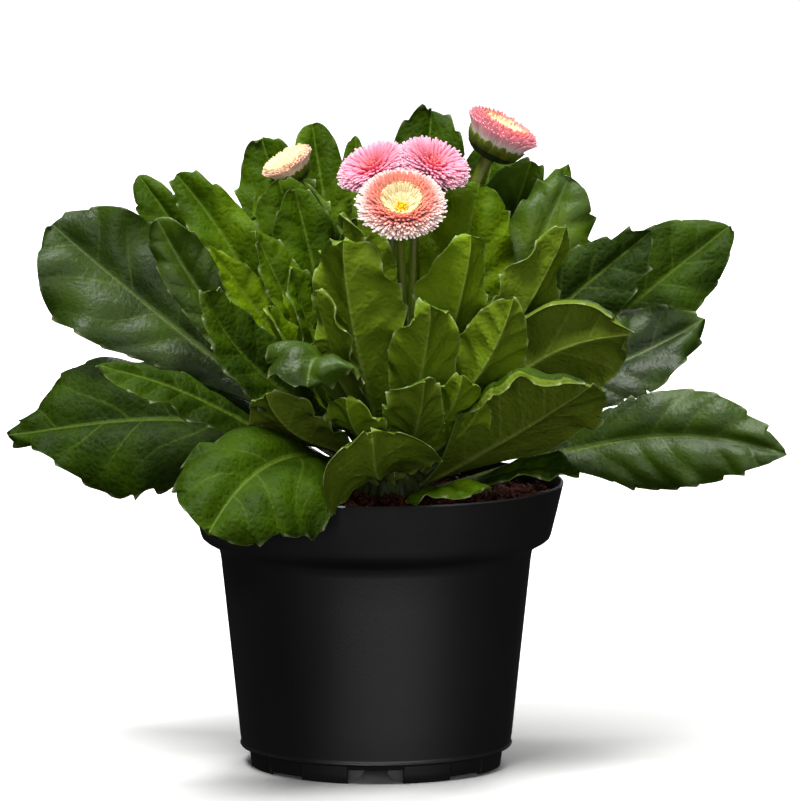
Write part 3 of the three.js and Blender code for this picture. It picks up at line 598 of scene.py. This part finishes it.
# how a head is built, in units of its radius; lists run from the outermost ring to the innermost
headForms = {
    "open": dict(rings=9, quills=(84, 50), rootReach=(0.42, 0.38), rootHeight=(0.38, 0.5),
                 tipReach=(1.0, 0.96, 0.91, 0.85, 0.78, 0.7, 0.62, 0.53, 0.45),
                 tipHeight=(0.68, 0.75, 0.81, 0.87, 0.93, 0.98, 1.0, 0.97, 0.92), width=(0.04, 0.036),
                 core=[(0, 0.3), (0.42, 0.3), (0.47, 0.55), (0.47, 0.8), (0.41, 0.87), (0.29, 0.73),
                       (0.14, 0.6), (0, 0.56)],
                 discCounts=(46, 36, 20), discRoot=(0.26, 0.14, 0.05), discTip=(0.43, 0.31, 0.17),
                 discLow=(0.68, 0.58, 0.54), discHigh=(0.93, 0.76, 0.64), cup=0.42, bractReach=0.36),
    "fan": dict(rings=9, quills=(66, 10), rootReach=(0.36, 0.3, 0.2, 0.06), rootHeight=(0.4, 0.62),
                tipReach=(1.0, 0.97, 0.93, 0.88, 0.82, 0.74, 0.5, 0.3, 0.12),
                tipHeight=(0.74, 0.8, 0.86, 0.92, 0.98, 1.02, 1.0, 0.98, 0.96), width=(0.046, 0.05),
                core=[(0, 0.3), (0.42, 0.3), (0.5, 0.5), (0.4, 0.66), (0.2, 0.76), (0, 0.78)],
                discCounts=(8, 5), discRoot=(0.1, 0.03), discTip=(0.12, 0.04), discLow=(0.7, 0.7),
                discHigh=(0.94, 0.96), cup=0.42, bractReach=0.36),
    "button": dict(rings=5, quills=(50, 42), rootReach=(0.6, 0.56), rootHeight=(0.3, 0.4),
                   tipReach=(1.0, 0.82), tipHeight=(0.86, 1.0), width=(0.066, 0.055),
                   core=[(0, 0.25), (0.6, 0.28), (0.8, 0.62), (0.8, 0.94), (0.5, 0.98), (0, 0.99)],
                   discCounts=(44, 38, 30, 20, 10), discRoot=(0.66, 0.52, 0.38, 0.22, 0.08),
                   discTip=(0.8, 0.62, 0.45, 0.27, 0.1), discLow=(0.88,), discHigh=(1.02, 1.04, 1.02),
                   cup=0.62, bractReach=0.26),
    "drum": dict(rings=7, quills=(66, 44), rootReach=(0.66, 0.52), rootHeight=(0.3, 0.42),
                 tipReach=(1.0, 0.94, 0.86, 0.76, 0.68, 0.6, 0.54),
                 tipHeight=(0.84, 0.94, 1.0, 1.03, 1.04, 1.02, 1.0), width=(0.048, 0.04),
                 core=[(0, 0.25), (0.6, 0.28), (0.66, 0.6), (0.56, 0.9), (0.4, 0.94), (0, 0.92)],
                 discCounts=(34, 28, 20, 10), discRoot=(0.46, 0.34, 0.2, 0.08),
                 discTip=(0.5, 0.37, 0.23, 0.08), discLow=(0.82,), discHigh=(0.99, 0.97, 0.96),
                 cup=0.68, bractReach=0.26),
}
# colours of quill tips and quill roots, from the outermost ring to the innermost
petalColours = {
    "blush": dict(tips=[(0, "#fdf3f1"), (0.35, "#fce3dc"), (0.5, "#f9c2b7"), (0.68, "#f8a798"),
                        (0.85, "#f7ae95"), (1, "#f9d4ab")],
                  roots=[(0, "#fbe3dc"), (0.5, "#f8bcad"), (1, "#fbeec0")], disc=("#fbf1c6", "#fdf6d4")),
    "rose": dict(tips=[(0, "#fcdde9"), (0.5, "#fac8da"), (0.75, "#f7a5bd"), (1, "#f48f92")],
                 roots=[(0, "#f5a0bf"), (0.6, "#f184a5"), (1, "#ee7984")], disc=("#ef7f86", "#f48f92")),
    "young": dict(tips=[(0, "#fadccd"), (0.5, "#f9dfc6"), (1, "#fbefc6")],
                  roots=[(0, "#fbeeda"), (1, "#fcf4d2")], disc=("#fbf2c8", "#fdf7d6")),
    "tall": dict(tips=[(0, "#f8c0cb"), (0.35, "#f2a4ae"), (0.7, "#efa59f"), (1, "#f8dcb4")],
                 roots=[(0, "#fdf4f0"), (0.5, "#fbdde0"), (1, "#f8ecc4")], disc=("#f9efc8", "#fbf4d4")),
}
quill = dict(ringPoints=6, rows=6)


def spread(values, count):
    # a short list of values stretched evenly over a number of rings
    values = np.atleast_1d(values).astype(float)
    return np.interp(np.linspace(0, 1, count), np.linspace(0, 1, len(values)), values)


def quills(radius, counts, rootReach, rootHeight, tipReach, tipHeight, width, bow=0.35, end=0.55):
    # quilled florets as tubes: each follows a bent line from its root to its tip, in the upright plane
    # at its own turn, and its section is an oval that swells and closes at a blunt tip. Neighbouring
    # rings are turned by an odd angle; turn, length and droop vary a little from quill to quill
    rings = len(counts)
    ring = np.repeat(np.arange(rings), counts)
    turn = np.concatenate([np.arange(count) / count for count in counts]) * 2 * np.pi + ring * 0.71
    total = len(ring)
    turn = turn + rng.normal(0, 0.02, total)
    stretch = 1 + rng.normal(0, 0.03, total)
    droop = rng.normal(0, 0.025, total)
    first, low, last, high, thick = (spread(values, rings)[ring][:, None]
                                     for values in (rootReach, rootHeight, tipReach, tipHeight, width))
    t = np.linspace(0, 1, quill["rows"])[None]
    out = first + (last - first) * stretch[:, None] * (t + bow * t * (t - 1))
    up = low + (high - low + droop[:, None]) * (t - bow * t * (t - 1))
    slopeOut, slopeUp = np.gradient(out, axis=1), np.gradient(up, axis=1)
    size = np.hypot(slopeOut, slopeUp)
    swell = np.interp(t, [0, 0.3, 0.75, 0.93, 1], [0.6, 0.85, 1.0, 0.9, end])
    around = fullTurn(quill["ringPoints"])[None, None]
    sideways = (thick * swell)[..., None] * np.cos(around)
    normal = (thick * swell)[..., None] * 0.6 * np.sin(around)
    radial = out[..., None] - (slopeUp / size)[..., None] * normal
    height = up[..., None] + (slopeOut / size)[..., None] * normal
    points = radius * spokes(radial, sideways, height, turn[:, None, None])
    return closedTubes(points, along=t[..., None], inner=(ring / max(rings - 1, 1))[:, None, None],
                       shade=rng.normal(0, 1, total)[:, None, None])


def headSeat(flower):
    # the way a head looks, and the place under the middle of its bowl where it sits on its stalk
    looks = unit(np.array(flower["looks"], float))
    return looks, np.array(flower["middle"], float) - looks * flower["radius"] * 0.7


def aimed(part, flower):
    # turns a head made about the z axis to the way the flower looks, and puts it on its seat
    looks, seat = headSeat(flower)
    axis = np.cross([0, 0, 1.0], looks)
    sine = np.linalg.norm(axis)
    axis = axis / sine
    points = part[0]
    turned = (points * looks[2] + np.cross(axis, points) * sine
              + axis * (points @ axis)[:, None] * (1 - looks[2]))
    return turned + seat, part[1], part[2]


def rayFlorets(flower, form):
    # rings of quills, whose number falls evenly from the outermost ring to the innermost
    counts = np.round(np.linspace(*form["quills"], form["rings"])).astype(int)
    return quills(flower["radius"], counts, form["rootReach"], form["rootHeight"], form["tipReach"],
                  form["tipHeight"], form["width"])


def discFlorets(flower, form):
    # the middle: a cushion or funnel lined with short fine quills; the open head has a tuft of small
    # yellow knobs low in its funnel
    r = flower["radius"]
    parts = [turnedSolid(form["core"], r, along=0.4, inner=0.6, shade=0.0),
             quills(r, form["discCounts"], form["discRoot"], form["discLow"], form["discTip"],
                    form["discHigh"], 0.03, bow=0.1, end=0.75)]
    if flower["form"] == "open":
        skin, faces, marks = quills(r, (10, 6, 3), (0.11, 0.07, 0.02), 0.5, (0.14, 0.09, 0.03), 0.72,
                                    0.04, bow=0.1, end=0.8)
        marks = dict(marks, inner=marks["inner"] * 0 + 2.0)
        parts.append(moved((skin, faces, marks), (0, -0.06 * r, 0)))
    return joined(parts)


def floretMaterial(name, tips, roots):
    # living petal tissue rolled into a tube: thin, matte and velvety, and it lets light through; the
    # colour runs from root to tip and from the outermost ring to the innermost
    material, node, place = newMaterial(name)
    read = {key: node("Attribute", attribute_name=key).outputs["Fac"]
            for key in ("along", "inner", "shade")}
    tipColour = node("ValToRGB", {"Fac": read["inner"]}, stops=tips)
    rootColour = node("ValToRGB", {"Fac": read["inner"]}, stops=roots)
    tipShare = node("MapRange", {"Value": read["along"], "From Min": 0.35, "From Max": 0.9})
    colour = node("Mix", {"Factor": tipShare, "A": rootColour, "B": tipColour}, data_type="RGBA")
    golden = node("Math", {0: read["inner"], 1: 1.5}, operation="GREATER_THAN")
    spotted = node("Mix", {"Factor": golden, "A": colour, "B": "#ffd500"}, data_type="RGBA")
    value = node("Math", {0: read["shade"], 1: 0.045, 2: 1.0}, operation="MULTIPLY_ADD")
    varied = node("HueSaturation", {"Color": spotted, "Value": value})
    grain = node("TexNoise", {"Vector": place, "Scale": 1 / pattern["petalGrain"], "Detail": 2.0})
    bump = node("Bump", {"Height": grain, "Strength": 0.3, "Distance": 0.0001})
    skin = node("BsdfPrincipled", {"Base Color": varied, "Roughness": 0.6, "IOR": 1.4,
            "Sheen Weight": 0.15, "Normal": bump})
    through = node("BsdfTranslucent", {"Color": varied})
    mixed = node("MixShader", {"Fac": 0.42, 1: skin, 2: through})
    node("OutputMaterial", {"Surface": mixed})
    return material


def bracts(flower, form):
    # blunt green bracts in two rings: a spoon bent up the side of the cup, a third as thick as wide
    r = flower["radius"]
    ring = np.repeat([0, 1], 12)[:, None, None]
    turn = (np.arange(24)[:, None, None] % 12 + ring * 0.5) * np.pi / 6
    t = np.linspace(0, 1, 9)[None, :, None]
    around = fullTurn(12)[None, None]
    wide = r * form["cup"] * 0.3 * np.sin(np.pi * (t * 0.84 + 0.14)) ** 0.6
    reach = r * (form["cup"] * 0.5 + 0.02 * ring + (form["bractReach"] + form["cup"] * 0.3) * t)
    high = r * (0.04 + 0.05 * ring + 0.44 * t ** 1.8)
    sideways = wide * np.cos(around)
    thick = wide * 0.35 * np.sin(around)
    return closedTubes(spokes(reach + thick * 0.7, sideways, high - thick * 0.7, turn), along=t)


def stalk(flower):
    # a tube along a cubic curve from the crown to the head's seat, with eight low ribs
    looks, seat = headSeat(flower)
    start, root, length = leaving(seat, flower["swing"], flower["rise"])[1:]
    t = np.linspace(0, 1, 40)
    middle, tangent = bezier(root, root + start * 0.5 * length, seat - looks * 0.2 * length,
                             seat + looks * 0.2, t)
    side = unit(np.cross(tangent, np.array([0.3, 1.0, 0.1])))
    other = np.cross(tangent, side)
    turn = fullTurn(32)[None]
    low, high = flower["stalk"]
    radius = (low + (high - low) * t ** 3)[:, None] + 0.06 * np.cos(8 * turn)
    offset = side[:, None] * (radius * np.cos(turn))[..., None]
    offset = offset + other[:, None] * (radius * np.sin(turn))[..., None]
    return closedTubes((middle[:, None] + offset)[None], along=0.95)


def bractMaterial():
    # fleshy bracts: olive green and satin; the colour darkens to near black at the root, a painted shade
    # where they overlap
    material, node, place = newMaterial("fleshyBract")
    along = node("Attribute", attribute_name="along").outputs["Fac"]
    mottle = node("TexNoise", {"Vector": place, "Scale": 1 / pattern["bractMottle"], "Detail": 3.0})
    drift = node("Math", {0: mottle, 1: 0.5, 2: -0.25}, operation="MULTIPLY_ADD")
    share = node("Math", {0: along, 1: drift}, operation="ADD", use_clamp=True)
    # painted shade: near black at the root, olive towards the tip
    colour = node("ValToRGB", {"Fac": share},
                  stops=[(0.1, "#12160a"), (0.5, "#262e0d"), (0.95, "#59660f")])
    bump = node("Bump", {"Height": mottle, "Strength": 0.4, "Distance": 0.0002})
    skin = node("BsdfPrincipled", {"Base Color": colour, "Roughness": 0.5, "Normal": bump})
    node("OutputMaterial", {"Surface": skin})
    return material


greenMaterial = bractMaterial()
rayMaterials, discMaterials = {}, {}
for kind, colours in petalColours.items():
    rayMaterials[kind] = floretMaterial(kind + "RayFloret", colours["tips"], colours["roots"])
    first, second = colours["disc"]
    discMaterials[kind] = floretMaterial(kind + "DiscFloret", [(0, second), (1, second)],
                                         [(0, first), (1, first)])
for name, flower in flowers.items():
    form = headForms[flower["form"]]
    r, cup = flower["radius"], form["cup"]
    # the cup under the bracts is given along 0.1, so it takes the bracts' painted shade, near black
    underCup = turnedSolid([(0, -0.08), (0.12, -0.07), (cup * 0.7, 0.02), (cup, 0.17), (cup, 0.3),
                            (0.1, 0.34), (0, 0.34)], r, along=0.1)
    green = joined([stalk(flower), aimed(joined([bracts(flower, form), underCup]), flower)])
    makePiece(pieceName(name) + "Stalk", green, greenMaterial, [name + "_stalk"])
    makePiece(pieceName(name) + "Rays", aimed(rayFlorets(flower, form), flower),
              rayMaterials[flower["colours"]], [name + "_rays"])
    makePiece(pieceName(name) + "Disc", aimed(discFlorets(flower, form), flower),
              discMaterials[flower["colours"]], [name + "_disc"])
print("flowers made:", len(flowers))


# pot
pot = dict(middle=(-6.0, 0, 0), segments=192, notchWidth=18.0, notchHeight=4.4, stepWidth=14.0,
           stepHeight=1.0, footRadius=41.0, footTop=6.9)
# the foot's plates: how far both faces stand from the axis, half their length, their top, half the gap
# in the middle and the radius of its corners
plate = dict(outer=34.2, inner=33.0, half=13.0, top=7.0, gap=3.7, corner=3.6)
potProfile = [  # radius and height in mm: up the outside, over the lip and down the inside
    (0, 6.4), (38, 6.4), (41.2, 6.2), (42.2, 5.9), (42.9, 5.9), (43.4, 6.2), (43.6, 6.6), (43.4, 7.0),
    (43.25, 7.3), (43.3, 7.9), (43.55, 9.6), (44.4, 18), (46.5, 38), (48.4, 56), (49.55, 66.6),
    (50.0, 69.2), (50.5, 69.9), (52.2, 71.0), (54.4, 72.2), (55.5, 73.1), (56.0, 74.3), (56.4, 76),
    (57.4, 80), (58.6, 85), (59.6, 89.4), (59.9, 90.5), (59.6, 91.0), (59.1, 90.9), (58.8, 90.2),
    (57.6, 85), (55.0, 75.6), (54.0, 74.6), (49.0, 71.4), (48.6, 69.6), (46.2, 46), (42.4, 9.2),
    (41.6, 8.4), (0, 8.2),
]


def footRing():
    # the skirt: a closed wall round the axis whose lower edge steps up at four notches and at four
    # shallow steps between them; columns stand doubled at each step so that its sides are upright
    def cuts(width, turn):
        # four angles: a cut's two edges, each half a width over the radius away, and just beyond both
        half, near = width / 2 / pot["footRadius"], 0.06 / pot["footRadius"]
        return [turn - half - near, turn - half, turn + half, turn + half + near]

    quarter = np.arange(4) * np.pi / 2
    edges = np.concatenate([cuts(pot["notchWidth"], a) + cuts(pot["stepWidth"], a + np.pi / 4)
                            for a in quarter])
    turn = np.unique(np.concatenate([np.linspace(-np.pi / 4, 7 * np.pi / 4, 240, endpoint=False),
                                     edges]) % (2 * np.pi))
    fromNotch = np.abs((turn + np.pi / 4) % (np.pi / 2) - np.pi / 4) * pot["footRadius"]
    fromStep = np.abs(turn % (np.pi / 2) - np.pi / 4) * pot["footRadius"]
    lift = np.where(fromNotch < pot["notchWidth"] / 2 + 0.03, pot["notchHeight"],
                    np.where(fromStep < pot["stepWidth"] / 2 + 0.03, pot["stepHeight"], 0.0))
    section = np.array([[39.4, 6.9], [39.4, 3.0], [39.4, 0.3], [39.6, 0], [40.3, 0], [40.6, 0.3],
                        [41.0, 3.0], [41.5, 6.9]])
    radius, z = section.T
    z = z + lift[:, None] * (1 - z / pot["footTop"])
    points = aroundZ(radius, turn[:, None], z).reshape(-1, 3)
    return points, facingOut(points, [gridFaces(len(turn), len(section), endless=True)]), {}


def footPlate(turnDegrees):
    # a 1.2 mm plate behind a notch: its lower edge lies on the floor from both ends in to the gap, where
    # a quarter round lifts it to the notch's top
    gap, corner = plate["gap"], plate["corner"]
    bend = corner * np.sin(np.linspace(0, np.pi / 2, 9))[1:]
    right = np.concatenate([gap + corner - bend[::-1], np.linspace(gap + corner, plate["half"], 6)])
    x = np.concatenate([-right[::-1], np.linspace(-gap, gap, 4)[1:-1], right])
    inside = np.clip((np.abs(x) - gap) / corner, 0, 1)
    low = np.where(np.abs(x) < gap + corner,
                   corner - corner * np.sqrt(np.maximum(1 - (1 - inside) ** 2, 0)), 0)
    low = np.where(np.abs(x) < gap + 0.01, pot["notchHeight"], low)
    y = np.array([-plate["outer"], -plate["inner"], -plate["inner"], -plate["outer"]])[:, None]
    z = np.stack([low, low, 0 * x + plate["top"], 0 * x + plate["top"]])
    corners = np.stack(np.broadcast_arrays(x, y, z), -1).transpose(1, 0, 2)
    return closedTubes(turnedFlat(corners, turnDegrees)[None])


def mouldedPolypropylene():
    # black injection-moulded polypropylene: satin from a fine-grained mould, with faint flow marks
    material, node, place = newMaterial("mouldedBlackPolypropylene")
    grain = node("TexNoise", {"Vector": place, "Scale": 1 / pattern["mouldGrain"], "Detail": 2.0})
    flow = node("Mapping", {"Vector": place, "Scale": (1.0, 1.0, 0.25)})
    marks = node("TexNoise", {"Vector": flow, "Scale": 1 / pattern["flowMark"], "Detail": 4.0})
    colour = node("ValToRGB", {"Fac": marks}, stops=[(0.3, "#101010"), (0.7, "#171717")])
    roughness = node("MapRange", {"Value": marks, "To Min": 0.42, "To Max": 0.52})
    bump = node("Bump", {"Height": grain, "Strength": 0.25, "Distance": 0.0001})
    skin = node("BsdfPrincipled", {"Base Color": colour, "Roughness": roughness, "IOR": 1.49,
            "Specular IOR Level": 0.62, "Normal": bump})
    node("OutputMaterial", {"Surface": skin})
    return material


potParts = [turnedSolid(potProfile, columns=pot["segments"]), footRing()]
potParts += [footPlate(turn) for turn in (0, 90, 180, 270)]
makePiece("nurseryPot", moved(joined(potParts), pot["middle"]), mouldedPolypropylene(),
          ["pot"], sharp=40)
print("pot made")


# soil: level is pairs of a reach and the height there, bumps pairs of a height and a size, in mm
soil = dict(reach=57.6, level=[(0, 87.2), (24, 87.2), (40, 86.8), (57.6, 86.0)], bumpiness=0.6,
            bumps=[(2.6, 9), (1.5, 3.6), (0.8, 1.5)], crumbs=1300, crumbSize=(0.5, 1.7), crumbLift=0.35)


def valueNoise(x, y, cell, seedNumber):
    # smooth random height: random values on a square lattice, blended by smooth steps between them
    table = np.random.default_rng(seedNumber).random((64, 64))
    gx, gy = x / cell + 32, y / cell + 32
    ix, iy = np.floor(gx).astype(int), np.floor(gy).astype(int)
    fx, fy = gx - ix, gy - iy
    fx, fy = fx * fx * (3 - 2 * fx), fy * fy * (3 - 2 * fy)

    def between(row):
        # the row's two nearest values, blended by the share fx
        return table[ix % 64, row % 64] * (1 - fx) + table[(ix + 1) % 64, row % 64] * fx

    low, high = between(iy), between(iy + 1)
    return low * (1 - fy) + high * fy - 0.5


def soilTop(x, y):
    # the peat's height: a level that sinks towards the rim, plus random bumps of three sizes
    reach = np.hypot(x, y)
    rough = sum(height * valueNoise(x, y, size, k) for k, (height, size) in enumerate(soil["bumps"], 1))
    return np.interp(reach, *zip(*soil["level"])) + rough * soil["bumpiness"]


def soilBed():
    # the peat's top is a height over rings and turns, of three sizes of smooth random bumps; its rim
    # turns down inside the pot, and a flat underside closes it
    turn = fullTurn(190)[None]
    reach = np.linspace(soil["reach"], 0.05, 70)[:, None]
    top = aroundZ(reach, turn, soilTop(reach * np.cos(turn), reach * np.sin(turn)))
    lower = np.array([[0.05, 60.0], [48.0, 60.0], [48.0, 70.0], [53.2, 76.0]])[:, :, None]
    under = aroundZ(lower[:, 0], turn, lower[:, 1])
    return closedTubes(np.concatenate([under, top])[None])


def soilCrumbs():
    # loose crumbs: small balls of five rings, pulled about by random bumps and partly sunk in the bed
    total = soil["crumbs"]
    size = rng.uniform(*soil["crumbSize"], total)
    far = np.sqrt(rng.uniform(0.05, 0.955, total)) * soil["reach"]
    spin = rng.uniform(0, 2 * np.pi, total)
    x, y = far * np.cos(spin), far * np.sin(spin)
    polar = np.linspace(0.2, np.pi - 0.2, 5)[None, :, None]
    ring = fullTurn(6)[None, None]
    uneven = 1 + 0.24 * rng.normal(size=(total, 5, 6))
    ball = size[:, None, None] * uneven
    flat = rng.uniform(0.6, 1.0, total)[:, None, None]
    middle = np.stack([x, y, soilTop(x, y) + size * soil["crumbLift"]], -1)[:, None, None]
    return closedTubes(middle + aroundZ(ball * np.sin(polar), -ring, ball * flat * np.cos(polar)))


def peatCrumb():
    # dry milled peat: dull and rough, reddish brown clods from near black to a few pale ones
    material, node, place = newMaterial("milledPeat")
    clods = node("TexNoise", {"Vector": place, "Scale": 1 / pattern["clod"], "Detail": 5.0,
            "Roughness": 0.65})
    colour = node("ValToRGB", {"Fac": clods}, stops=[
        (0.32, "#1e0c07"), (0.5, "#3f1d11"), (0.66, "#67331d"), (0.8, "#8a5a38")])
    bump = node("Bump", {"Height": clods, "Strength": 0.9, "Distance": 0.0008})
    skin = node("BsdfPrincipled", {"Base Color": colour, "Roughness": 0.92, "Specular IOR Level": 0.25,
            "Normal": bump})
    node("OutputMaterial", {"Surface": skin})
    return material


soilSkin = joined([soilBed(), soilCrumbs()])
makePiece("peatBed", moved(soilSkin, pot["middle"]), peatCrumb(), ["soil"], sharp=80)
print("soil made")


# floor, light and camera
studio = dict(cameraPlace=(1.65, -1978.0, 363.0), pitch=7.10, focalPixels=6257.0, frameWidth=800,
              sensor=36.0, sweepReach=6.0, sweepFlat=3.0, sweepBend=1.5)
lights = {  # each looks from its place at a target; size is width and height; metres and watts
    "keyBox": dict(place=(-0.3, -0.65, 1.7), target=(0, 0, 0.1), size=(0.7, 0.7), power=46),
    "overheadBox": dict(place=(0.1, 0.1, 1.3), target=(0, 0, 0.12), size=(0.6, 0.6), power=10),
    "frontBox": dict(place=(0.3, -2.1, 0.16), target=(0, 0, 0.09), size=(3.2, 0.8), power=36),
    "behindBox": dict(place=(0.5, 1.9, 0.9), target=(0, 0, 0.12), size=(0.8, 0.8), power=24),
    "backdropBox": dict(place=(0, 1.0, 2.2), target=(0, 4.2, 0.4), size=(2.0, 2.0), power=230),
}


def paleFloor():
    # matte painted sweep: a flat floor that bends up into a wall far behind the plant
    material, node, place = newMaterial("paintedSweep")
    haze = node("TexNoise", {"Vector": place, "Scale": 3.0})
    colour = node("ValToRGB", {"Fac": haze}, stops=[(0.3, "#d2d2d1"), (0.7, "#d6d6d5")])
    skin = node("BsdfPrincipled", {"Base Color": colour, "Roughness": 0.9})
    node("OutputMaterial", {"Surface": skin})
    mesh = bpy.data.meshes.new("sweep")
    reach, flat, bend = (studio[key] for key in ("sweepReach", "sweepFlat", "sweepBend"))
    turn = np.linspace(0, np.pi / 2, 12)
    y = np.concatenate([[-reach], flat + bend * np.sin(turn), [flat + bend]])[:, None]
    z = np.concatenate([[0.0], bend - bend * np.cos(turn), [reach]])[:, None]
    points = np.stack(np.broadcast_arrays([-reach, reach], y, z), -1).reshape(-1, 3)
    row = np.arange(len(y) - 1) * 2
    mesh.from_pydata(points.tolist(), [], np.stack([row, row + 1, row + 3, row + 2], -1).tolist())
    mesh.shade_smooth()
    mesh.materials.append(material)
    sweep = bpy.data.objects.new("sweep", mesh)
    bpy.context.collection.objects.link(sweep)
    # the sweep is only seen: it throws no light on the plant and isn't mirrored in it
    sweep.visible_glossy = False
    sweep.visible_diffuse = False


def softBox(name, place, target, size, power):
    # an area light, width by height, turned to look at a point, all in metres
    lamp = bpy.data.lights.new(name, "AREA")
    lamp.energy = power
    lamp.shape = "RECTANGLE"
    lamp.size, lamp.size_y = size
    box = bpy.data.objects.new(name, lamp)
    bpy.context.collection.objects.link(box)
    box.location = place
    box.rotation_euler = (Vector(place) - Vector(target)).to_track_quat("Z", "Y").to_euler()


paleFloor()
for name, box in lights.items():
    softBox(name, **box)
world = bpy.data.worlds.new("studioAir")
bpy.context.scene.world = world
world.use_nodes = True
air = world.node_tree.nodes["Background"]
air.inputs["Color"].default_value = linear("#ffffff")
air.inputs["Strength"].default_value = 0.025
bpy.context.scene.view_settings.view_transform = "Standard"

lens = bpy.data.cameras.new("photoCamera")
lens.sensor_fit = "HORIZONTAL"
lens.sensor_width = studio["sensor"]
lens.lens = studio["focalPixels"] / studio["frameWidth"] * studio["sensor"]
lens.clip_start, lens.clip_end = 0.05, 60.0
camera = bpy.data.objects.new("photoCamera", lens)
camera.location = [value * mm for value in studio["cameraPlace"]]
camera.rotation_euler = (math.radians(90 - studio["pitch"]), 0, 0)
bpy.context.collection.objects.link(camera)
bpy.context.scene.camera = camera

bpy.context.view_layer.update()
print("scene ready")
